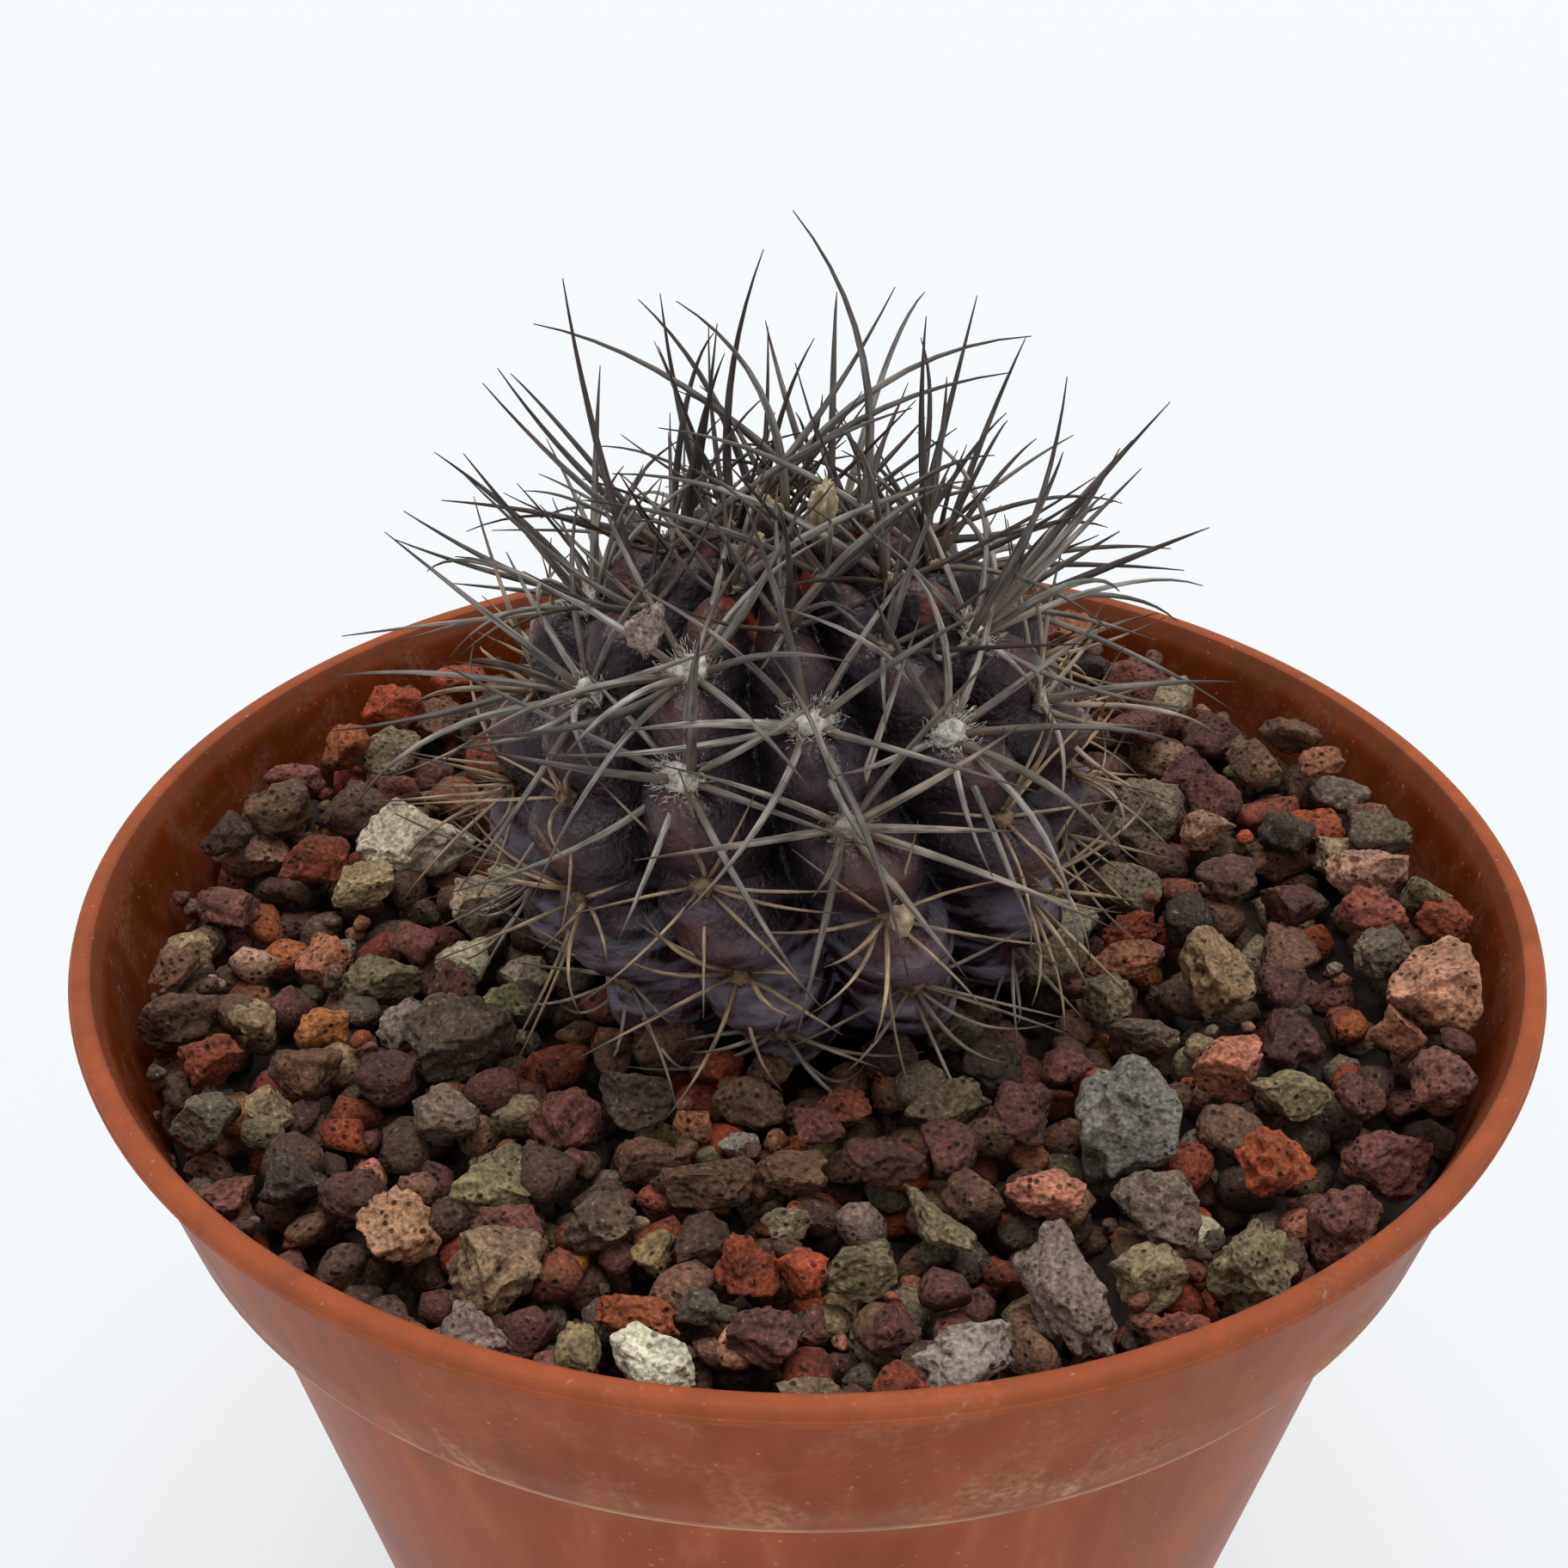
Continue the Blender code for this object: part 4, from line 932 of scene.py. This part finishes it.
def make_gravel(settings):
    """The gravel, laid from below: small stones, the chosen ones, then what falls between."""
    finishes = make_rock_finishes()
    balls = {level: ball_mesh(level) for level in (2, 3, 4, 5)}
    units = {level: points_of(ball) for level, ball in balls.items()}
    ground = Ground()
    draw = np.random.default_rng(7)
    heaps = {}

    def lay(layer, level, place, size, turn, rock, flats, pores):
        part = stone_part(
            balls[level], units[level], place, size, turn, rock, flats, pores, draw
        )
        sector = int((math.atan2(place[1], place[0]) / FULL_TURN % 1.0) * SECTORS) + 1
        heaps.setdefault((layer, ROCKS[rock][0], sector), []).append(part)

    for _ in range(settings.under_stones):
        size = random_size(draw.uniform(2.6, 4.2), draw)
        turn = draw.uniform(0.0, math.pi)
        place = ground.drop(size, turn, 4, draw)
        if place is not None:
            lay("under", 2, place, size, turn, random_rock(draw), 3, 0)

    for name, (x, y, length, width, height, turn, rock, flats) in LARGE_STONES.items():
        size = (length * MM, width * MM, height * MM)
        turn = math.radians(turn)
        place = over_gravel(x, y, 0.32 * height * MM)
        own = np.random.default_rng(sum(map(ord, name)))
        pores = 60 if flats < 4 else 32
        part = stone_part(balls[5], units[5], place, size, turn, rock, flats, pores, own)
        finish = finishes[ROCKS[rock][0]]
        stone = fresh_object(name.replace("stone_", "rock_"), gather(name, [part]), finish)
        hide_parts(name)
        ground.cover(*place, size, turn)
        ground.block(*place[:2], size, turn, 0.85)

    for x, y, length, width, turn, rock in STANDING_OUT:
        size = (length * MM, width * MM, 0.86 * width * MM)
        turn = math.radians(turn)
        place = over_gravel(x, y, 0.35 * size[2])
        flats = int(draw.integers(3, 7))
        lay("top", 5 if length > 4.6 else 4, place, size, turn, rock, flats, 34)
        ground.cover(*place, size, turn)
        ground.block(*place[:2], size, turn, 0.8)

    for i in range(settings.top_stones):
        size = random_size(6.0 - 3.4 * i / settings.top_stones, draw)
        turn = draw.uniform(0.0, math.pi)
        place = ground.drop(size, turn, 14, draw)
        if place is not None and place[2] < GRAVEL_LEVEL + gravel_rise(*place[:2]) + 1.9 * MM:
            large = size[0] > 3.2 * MM
            lay("top", 4 if large else 3, place, size, turn, random_rock(draw), 5, 14 * large)

    for _ in range(settings.grains):
        size = random_size(draw.uniform(0.9, 1.9), draw)
        place = ground.drop(size, 0.0, 40, draw)
        if place is not None and place[2] < GRAVEL_LEVEL + gravel_rise(*place[:2]) + 1.5 * MM:
            lay("grain", 2, place, size, draw.uniform(0.0, math.pi), random_rock(draw), 3, 0)

    for (layer, finish, sector), parts in sorted(heaps.items()):
        name = f"gravel_{layer}_{finish}_{sector}"
        heap = fresh_object(name, gather(name, parts), finishes[finish])
    make_grit_bed()


def make_grit_bed():
    """The dark fines that show between the stones."""
    bottom = MIX_TOP + 0.3 * MM
    outer = inner_radius(GRIT_LEVEL) - 0.4 * MM
    steps = 44
    profile = [(STEM_HOLE - 2 * MM, bottom), (inner_radius(bottom) - 0.6 * MM, bottom)]
    profile += [(outer + (STEM_HOLE - outer) * i / steps, GRIT_LEVEL) for i in range(steps + 1)]
    mesh = to_mesh("grit_bed", turned(profile, 200))
    points = points_of(mesh)
    draw = np.random.default_rng(3)
    on_top = points[:, 2] > 0.5 * (bottom + GRIT_LEVEL)
    bumps = 0.35 * MM * ripple(points, draw, 2.4 * MM) + 0.25 * MM * ripple(points, draw, 1.1 * MM)
    away = np.hypot(points[:, 0], points[:, 1])
    share = np.clip((away - STEM_HOLE) / (outer - STEM_HOLE), 0.0, 1.0)
    rise = on_top * gravel_rise(points[:, 0], points[:, 1])
    points[:, 2] += rise + on_top * (0.5 * MM + bumps)
    points[:, 2] = np.maximum(points[:, 2], bottom)
    points[:, :2] *= 1.0 + (share * rise * WALL_LEAN / outer)[:, None]
    points[:, :2] += np.array(STEM_CENTRE[:2]) * (1.0 - share)[:, None]
    move_points(mesh, points)
    # Stone dust and peat washed between the stones: very dark and matt
    fines = mottled_finish("washed_fines", "#140e0b", "#382720", 0.8 * MM, 0.95, 0.25 * MM)
    bed = fresh_object("grit_bed", mesh, fines)
    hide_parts("gravel_bed")


# ---- Stem ----


def rib_place(turn, latitude):
    """(rib, share): the nearest rib and how far off its crest, from -0.5 to 0.5 of a spacing."""
    along = (turn - FIRST_TURN - RIB_TWIST * (latitude - FIRST_LATITUDE)) / (FULL_TURN / RIBS)
    return np.round(along), along - np.round(along)


def areole_latitude(rib, row):
    """Latitude of an areole; the rows climb round the globe from rib to rib."""
    return FIRST_LATITUDE - AREOLE_SPACING * (row + rib * ROWS_ROUND / RIBS)


def tubercle_share(rib, latitude):
    """Place between two areoles along a rib: 0 at an areole, growing downwards to 1."""
    return ((areole_latitude(rib, 0) - latitude) / AREOLE_SPACING) % 1.0


def chin(rib, latitude):
    """Swelling of a tubercle, from 0 at an areole to 1 at its chin not far below."""
    return np.sin(np.pi * tubercle_share(rib, latitude) ** 0.8) ** 1.3


def relief(turn, latitude):
    """Height of the skin above the plain globe, from grooves, ribs and tubercles."""
    rib, off_crest = rib_place(turn, latitude)
    crest = np.cos(np.pi * off_crest) ** 0.6
    fade = np.clip(np.cos(latitude), 0.0, 1.0) ** 0.6
    return fade * (crest * (TUBERCLE_HEIGHT * chin(rib, latitude) + RIB_DEPTH) - RIB_DEPTH)


def skin_points(turn, latitude, lift=0.0):
    """Points of the stem's skin, raised by lift. Turn 0 faces -Y and grows towards +X."""
    grown = relief(turn, latitude) + lift
    across = (STEM_RADIUS + grown) * np.cos(latitude)
    height = (STEM_HALF_HEIGHT + grown) * np.sin(latitude)
    offset = np.stack([across * np.sin(turn), -across * np.cos(turn), height], axis=-1)
    return np.array(STEM_CENTRE) + offset


def skin_point(turn, latitude, lift=0.0):
    """One point of the stem's skin, raised by lift."""
    return Vector(skin_points(np.float64(turn), np.float64(latitude), lift))


def make_stem(settings):
    """The globe with its neck and tap root, as one skin."""
    bm = bmesh.new()
    bmesh.ops.create_uvsphere(bm, u_segments=RIBS * 24, v_segments=150, radius=1.0)
    mesh = to_mesh("stem", bm)
    unit = points_of(mesh)
    latitude = np.arcsin(np.clip(unit[:, 2], -1.0, 1.0))
    turn = np.arctan2(unit[:, 0], -unit[:, 1])
    draw = np.random.default_rng(21)
    clipped = np.maximum(latitude, GLOBE_FOOT)
    creases = 0.17 * MM * ripple(unit * (1.0, 1.0, 2.6), draw, 0.30)
    creases += 0.24 * MM * ripple(unit * (1.0, 1.0, 1.8), draw, 0.6)
    points = skin_points(turn, clipped, creases * np.cos(clipped))
    # Below the globe's foot the neck and the tap root taper into the mix
    buried = np.clip((GLOBE_FOOT - latitude) / (GLOBE_FOOT + math.pi / 2), 0.0, 1.0)
    top_radius = STEM_RADIUS * math.cos(GLOBE_FOOT)
    radius = ROOT_TIP_RADIUS + (top_radius - ROOT_TIP_RADIUS) * (1.0 - buried) ** ROOT_TAPER
    shrink = (radius / top_radius * (1.0 - buried**8))[:, None]
    below = (buried > 0.0)[:, None]
    centre = np.array(STEM_CENTRE)
    tapered = centre + (points - centre) * np.c_[shrink, shrink, 0.0 * shrink]
    points = np.where(below, tapered, points)
    foot_height = STEM_CENTRE.z + STEM_HALF_HEIGHT * math.sin(GLOBE_FOOT)
    points[:, 2] = np.where(buried > 0.0, foot_height - buried * ROOT_DEPTH, points[:, 2])
    move_points(mesh, points)
    rib, off_crest = rib_place(turn, clipped)
    paint(mesh, "crest", 1.0 - 2.0 * np.abs(off_crest))
    paint(mesh, "chin", chin(rib, clipped))
    paint(mesh, "climb", (latitude - GLOBE_FOOT) / (math.pi / 2 - GLOBE_FOOT))
    stem = fresh_object("globe_stem", mesh, make_skin_finish(settings))
    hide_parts("stem")


# ---- Spines and wool ----


def bent(rod_points, foot, middle, tip, foot_radius, tip_radius, fullness=1.0):
    """A unit rod laid along a curve from foot to tip, pulled towards middle, and tapered."""
    t = rod_points[:, 2:3]
    foot, middle, tip = (np.asarray(p, dtype=float) for p in (foot, middle, tip))
    centre = foot * (1 - t) ** 2 + 2 * middle * t * (1 - t) + tip * t**2
    tangent = 2 * (middle - foot) * (1 - t) + 2 * (tip - middle) * t
    tangent /= np.linalg.norm(tangent, axis=1)[:, None]
    reference = np.array((0.31, 0.83, 0.47))
    side = np.cross(reference, tangent)
    side /= np.linalg.norm(side, axis=1)[:, None]
    across = np.cross(tangent, side)
    radius = tip_radius + (foot_radius - tip_radius) * (1 - t**fullness)
    return centre + radius * (rod_points[:, 0:1] * side + rod_points[:, 1:2] * across)


def areoles():
    """(latitude, turn) of each areole, from the crown down."""
    found = []
    for rib in range(RIBS):
        for row in range(-6, 8):
            latitude = areole_latitude(rib, row)
            if LOWEST_AREOLE < latitude < HIGHEST_AREOLE:
                turn = FIRST_TURN + FULL_TURN * rib / RIBS
                turn += RIB_TWIST * (latitude - FIRST_LATITUDE)
                found.append((latitude, turn))
    return sorted(found, reverse=True)


def spine_plan(latitude, youth, draw):
    """(bearing, climb, length in mm, thickness share, bow, tone) of an areole's spines."""
    degrees = math.degrees(latitude)
    if degrees > TOPMOST_ABOVE:
        kinds = TOPMOST_SPINES
    elif degrees > NEW_ABOVE:
        kinds = NEW_SPINES
    elif youth > 0.6:
        kinds = YOUNG_SPINES
    elif youth > 0.05:
        kinds = AGEING_SPINES
    else:
        kinds = OLD_SPINES
    straight = 0.4 if latitude < DUSTY_BELOW else 1.0
    plan = []
    for count, low, high, shortest, longest, share, tone in kinds:
        phase = draw.uniform(0.0, FULL_TURN)
        for k in range(count + int(draw.integers(0, 2))):
            bearing = phase + FULL_TURN * (k + draw.uniform(-0.3, 0.3)) / count
            climb = math.radians(draw.uniform(low, high))
            # In a full star the spines that point up are shorter than the ones that hang
            droop = 0.12 * math.sin(bearing) if count > 4 else 0.0
            length = draw.uniform(shortest, longest) * (1.0 - droop)
            share *= draw.uniform(0.93, 1.07)
            shade = min(1.0, max(0.0, tone + draw.uniform(-0.45, 0.4)))
            bow = straight * draw.uniform(-0.34, 0.24)
            plan.append((bearing, climb, length, share, bow, shade))
    return plan


def youth_of(latitude, turn):
    """From 0 for an old areole to 1 for a young one. Areoles at the two sides go tan sooner."""
    aside = max(0.0, abs(math.sin(turn)) - 0.6) / 0.4
    youth = (latitude - math.radians(14 + 9 * aside)) / math.radians(13)
    return max(0.0, min(1.0, youth))


def areole_axes(latitude, turn):
    """The directions sideways, upward and outward at an areole, which looks a little upwards."""
    flat = Vector((math.sin(turn), -math.cos(turn), 0.0))
    tilt = latitude + AREOLE_TILT
    outward = flat * math.cos(tilt) + Vector((0.0, 0.0, math.sin(tilt)))
    upward = (Vector((0.0, 0.0, 1.0)) - outward * outward.z).normalized()
    return upward.cross(outward), upward, outward


def grown_part(rod, points, finish, age, around=0.0, tone=1.0):
    """A spine, a hair or a pad of wool as a part of a gathered mesh."""
    unit = points_of(rod)
    paints = {"along": unit[:, 2], "age": np.full(len(unit), age)}
    paints["around"] = np.arctan2(unit[:, 1], unit[:, 0]) / FULL_TURN + around
    paints["tone"] = np.full(len(unit), tone)
    return (rod, points, finish, paints)


def star_parts(number, latitude, turn, thickness, rod, draw):
    """The spines of one areole: its star, then the long ones placed one by one."""
    youth = youth_of(latitude, turn)
    seat = skin_point(turn, latitude, 0.35 * MM)
    sideways, upward, outward = areole_axes(latitude, turn)
    rod_points = points_of(rod)
    parts = []
    for bearing, climb, length, share, bow, shade in spine_plan(latitude, youth, draw):
        spoke = sideways * math.cos(bearing) + upward * math.sin(bearing)
        heading = spoke * math.cos(climb) + outward * math.sin(climb)
        length *= MM
        foot = seat + spoke * draw.uniform(0.2, 0.9) * MM
        tip = foot + heading * length
        reach = (tip - STEM_CENTRE).xy.length
        widest = SPINE_REACH - draw.uniform(0.0, 5.0) * MM
        if reach > widest:
            length *= max(0.5, 1.0 - (reach - widest) / length)
            tip = foot + heading * length
        middle = foot + heading * 0.5 * length - outward * bow * length
        middle += sideways * draw.uniform(-0.1, 0.1) * length
        tip.z = max(tip.z, LOWEST_TIP + draw.uniform(0.0, 1.6) * MM)
        points = bent(rod_points, foot, middle, tip, thickness * share, 0.035 * MM, 1.7)
        worn = min(1.0, max(0.0, 1.0 - youth + draw.uniform(-0.25, 0.12)))
        if latitude < DUSTY_BELOW:
            worn *= 0.3
        parts.append(grown_part(rod, points, 0, worn, float(draw.integers(1, 900)), shade))
    for x, y, z, bow_x, bow_z, tone in LONG_SPINES.get(number, ()):
        tip = STEM_CENTRE + Vector((x, y, z)) * MM
        middle = 0.5 * (seat + tip) + Vector((bow_x, 0.0, bow_z)) * MM
        points = bent(rod_points, seat, middle, tip, thickness * 1.08, 0.04 * MM, 1.5)
        parts.append(grown_part(rod, points, 0, 0.0, float(draw.integers(1, 900)), tone))
    return parts


def wool_parts(latitude, turn, rod, ball, draw):
    """The wool of one areole: a matted pad and the loose hairs that stand out of it."""
    youth = youth_of(latitude, turn)
    seat = skin_point(turn, latitude, 0.35 * MM)
    sideways, upward, outward = areole_axes(latitude, turn)
    crown = latitude > CROWN_ABOVE
    age = 0.75 if crown else 1.0 - youth
    wide = (1.6 if crown else 2.0 + 1.3 * youth) * MM
    pad = crushed(points_of(ball), (wide, 0.8 * wide, 0.55 * wide), 0.0, draw, 0, 45)
    grown = np.array(Matrix((sideways, upward, outward)).transposed())
    parts = [grown_part(ball, pad @ grown.T + np.array(seat), 1, age)]
    for _ in range(50 if crown else int(40 + 260 * youth)):
        bearing = draw.uniform(0.0, FULL_TURN)
        spoke = sideways * math.cos(bearing) + upward * math.sin(bearing)
        root = seat + spoke * math.sqrt(draw.uniform(0.0, 1.0)) * 0.45 * wide
        reach = spoke * draw.uniform(0.0, 1.0) + outward * draw.uniform(0.2, 1.0)
        reach = reach.normalized() * draw.uniform(0.16, 0.48) * wide * (0.6 + 0.4 * youth)
        curl = Vector(draw.normal(scale=0.42 * MM, size=3))
        curled = root + 0.5 * reach + curl
        points = bent(points_of(rod), root, curled, root + reach, 0.055 * MM, 0.025 * MM)
        parts.append(grown_part(rod, points, 1, age))
    return parts


def make_spines(settings):
    """Each areole with its spines and wool; those in the CAD take the place of their nodes."""
    spine_rod = rod_mesh(6, 10)
    hair_rod = rod_mesh(3, 2)
    pad_ball = ball_mesh(3)
    finishes = (make_spine_finish(settings), make_wool_finish())
    in_cad = 0
    for number, (latitude, turn) in enumerate(areoles(), 1):
        draw = np.random.default_rng(500 + number)
        parts = star_parts(number, latitude, turn, settings.thickness, spine_rod, draw)
        parts += wool_parts(latitude, turn, hair_rod, pad_ball, draw)
        star = fresh_object(f"spine_star_{number:02d}", gather("spine_star", parts), *finishes)
        if LOWEST_CAD_AREOLE < latitude < HIGHEST_CAD_AREOLE:
            in_cad += 1
            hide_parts(f"areole_spines_{in_cad:02d}")


# ---- Small pieces caught on the plant ----


def make_caught_pieces():
    """The pumice and the dried flower between the spines, and the husks at the crown."""
    ball = ball_mesh(5)
    draw = np.random.default_rng(88)
    place = np.array(skin_point(math.radians(-44), math.radians(52), 4.2 * MM))
    size = (2.8 * MM, 2.4 * MM, 5.2 * MM)
    points = crushed(points_of(ball), size, 0.4, draw, 4, 90) + place
    tint = np.tile((*linear_rgb("#b3a09a"), 1.0), (len(points), 1))
    pumice = rock_finish("pinkish_pumice", 0.7 * MM, 0.7, 0.25, 0.2)
    mesh = gather("caught_pumice", [(ball, points, 0, {"tint": tint})])
    grit = fresh_object("caught_pumice", mesh, pumice)
    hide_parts("lodged_pumice_grit")
    place = np.array(skin_point(math.radians(17), math.radians(8), 2.6 * MM))
    points = crushed(points_of(ball), (1.6 * MM, 1.2 * MM, 2.8 * MM), 0.2, draw, 6, 8) + place
    # Dried flower: papery, cream to tan
    petal = mottled_finish("dry_petal", "#97805f", "#e0d0b0", 0.9 * MM, 0.8, 0.2 * MM)
    scrap = fresh_object("dry_flower", gather("dry_flower", [(ball, points, 0, {})]), petal)
    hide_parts("dried_flower_scrap")
    husks = []
    for turn, latitude, length, lean in HUSKS:
        foot = np.array(skin_point(math.radians(turn), math.radians(latitude), -0.4 * MM))
        unit = points_of(ball) * (1.0, 1.0, 0.5) + (0.0, 0.0, 0.5)
        folds = 1.0 + 0.28 * np.sin(7.0 * np.arctan2(unit[:, 1], unit[:, 0]))
        width = 0.8 * MM * (0.7 + 0.5 * unit[:, 2]) * folds
        husk = np.c_[unit[:, 0] * width, unit[:, 1] * width, unit[:, 2] * length * MM]
        husk[:, 0] += lean * MM * unit[:, 2] ** 2
        husk *= 1.0 + 0.05 * ripple(unit, draw, 0.4)[:, None]
        husks.append((ball, husk + foot, 0, {}))
    crown = fresh_object("crown_husks", gather("crown_husks", husks), petal)


# ---- Stage ----


def make_stage(settings):
    """The pale floor, the white surroundings, the soft key light and the camera."""
    bm = bmesh.new()
    bmesh.ops.create_grid(bm, x_segments=1, y_segments=1, size=FLOOR_SIZE)
    floor = bpy.data.objects.new("floor", to_mesh("floor", bm))
    bpy.context.scene.collection.objects.link(floor)
    paper, _, shader, _ = start_finish("pale_paper", Roughness=0.9)
    shader.inputs["Base Color"].default_value = rgba("#8a8f93")
    shader.inputs["Emission Color"].default_value = (*settings.floor, 1.0)
    shader.inputs["Emission Strength"].default_value = FLOOR_GLOW
    floor.data.materials.append(paper)

    world = bpy.data.worlds.new("studio")
    bpy.context.scene.world = world
    world.use_nodes = True
    tree = world.node_tree
    sky = tree.nodes["Background"]
    sky.inputs["Color"].default_value = rgba("#f7f6f4")
    sky.inputs["Strength"].default_value = settings.sky
    # Seen directly, the sky is as white as the floor, so no horizon shows
    white = add(tree, "Background", {"Color": rgba("#f8fcfe"), "Strength": SKY_WHITENESS})
    seen = add(tree, "LightPath").outputs["Is Camera Ray"]
    both = add(tree, "MixShader", {0: seen, 1: sky, 2: white})
    tree.links.new(both.outputs[0], tree.nodes["World Output"].inputs["Surface"])

    lamp = bpy.data.lights.new("key", "SUN")
    lamp.energy = settings.sun
    lamp.angle = KEY_ANGLE
    key = bpy.data.objects.new("key", lamp)
    key.rotation_euler = KEY_FROM.to_track_quat("Z", "Y").to_euler()
    bpy.context.scene.collection.objects.link(key)

    lens = bpy.data.cameras.new("camera")
    lens.lens = CAMERA_LENS
    lens.sensor_width = 36.0
    lens.clip_start = 0.01
    camera = bpy.data.objects.new("camera", lens)
    camera.location = CAMERA_PLACE
    camera.rotation_euler = (math.pi / 2 - CAMERA_TILT, 0.0, 0.0)
    bpy.context.scene.collection.objects.link(camera)
    bpy.context.scene.camera = camera
    bpy.context.scene.view_settings.view_transform = "Standard"


# ---- Operators and panel ----


class CACTUS_OT_stage(bpy.types.Operator):
    """Add the floor, the light and the camera"""

    bl_idname = "cactus.stage"
    bl_label = "Stage"

    def execute(self, context):
        make_stage(context.scene.cactus_stage)
        return {"FINISHED"}


class CACTUS_OT_pot(bpy.types.Operator):
    """Add the moulded plastic pot and finish the mix in it"""

    bl_idname = "cactus.pot"
    bl_label = "Pot"

    def execute(self, context):
        make_pot(context.scene.cactus_pot)
        return {"FINISHED"}


class CACTUS_OT_gravel(bpy.types.Operator):
    """Drop the volcanic stones into the pot"""

    bl_idname = "cactus.gravel"
    bl_label = "Gravel"

    def execute(self, context):
        make_gravel(context.scene.cactus_gravel)
        return {"FINISHED"}


class CACTUS_OT_stem(bpy.types.Operator):
    """Add the ribbed globe with its root"""

    bl_idname = "cactus.stem"
    bl_label = "Stem"

    def execute(self, context):
        make_stem(context.scene.cactus_stem)
        return {"FINISHED"}


class CACTUS_OT_spines(bpy.types.Operator):
    """Grow the woolly areoles and their spines"""

    bl_idname = "cactus.spines"
    bl_label = "Spines"

    def execute(self, context):
        make_spines(context.scene.cactus_spines)
        return {"FINISHED"}


class CACTUS_OT_caught(bpy.types.Operator):
    """Add the grit and the dried flower caught between the spines"""

    bl_idname = "cactus.caught"
    bl_label = "Caught pieces"

    def execute(self, context):
        make_caught_pieces()
        return {"FINISHED"}


STEPS = (
    CACTUS_OT_stage,
    CACTUS_OT_pot,
    CACTUS_OT_gravel,
    CACTUS_OT_stem,
    CACTUS_OT_spines,
    CACTUS_OT_caught,
)
SETTINGS = {
    "cactus_pot": PotSettings,
    "cactus_gravel": GravelSettings,
    "cactus_stem": StemSettings,
    "cactus_spines": SpineSettings,
    "cactus_stage": StageSettings,
}


class CACTUS_PT_panel(bpy.types.Panel):
    """Lists the cactus's pieces and their settings"""

    bl_idname = "CACTUS_PT_panel"
    bl_label = "Potted Round Cactus"
    bl_space_type = "VIEW_3D"
    bl_region_type = "UI"
    bl_category = "Cactus"

    def draw(self, context):
        for step in STEPS:
            self.layout.operator(step.bl_idname)
        for name, group in SETTINGS.items():
            box = self.layout.box()
            for setting in group.__annotations__:
                box.prop(getattr(context.scene, name), setting)


def register():
    for made in (*SETTINGS.values(), *STEPS, CACTUS_PT_panel):
        bpy.utils.register_class(made)
    for name, group in SETTINGS.items():
        setattr(bpy.types.Scene, name, bpy.props.PointerProperty(type=group))


def unregister():
    for name in SETTINGS:
        delattr(bpy.types.Scene, name)
    for made in reversed((*SETTINGS.values(), *STEPS, CACTUS_PT_panel)):
        bpy.utils.unregister_class(made)


def main():
    register()
    bpy.ops.cactus.stage()
    bpy.ops.cactus.pot()
    bpy.ops.cactus.gravel()
    bpy.ops.cactus.stem()
    bpy.ops.cactus.spines()
    bpy.ops.cactus.caught()


if __name__ == "__main__":
    main()
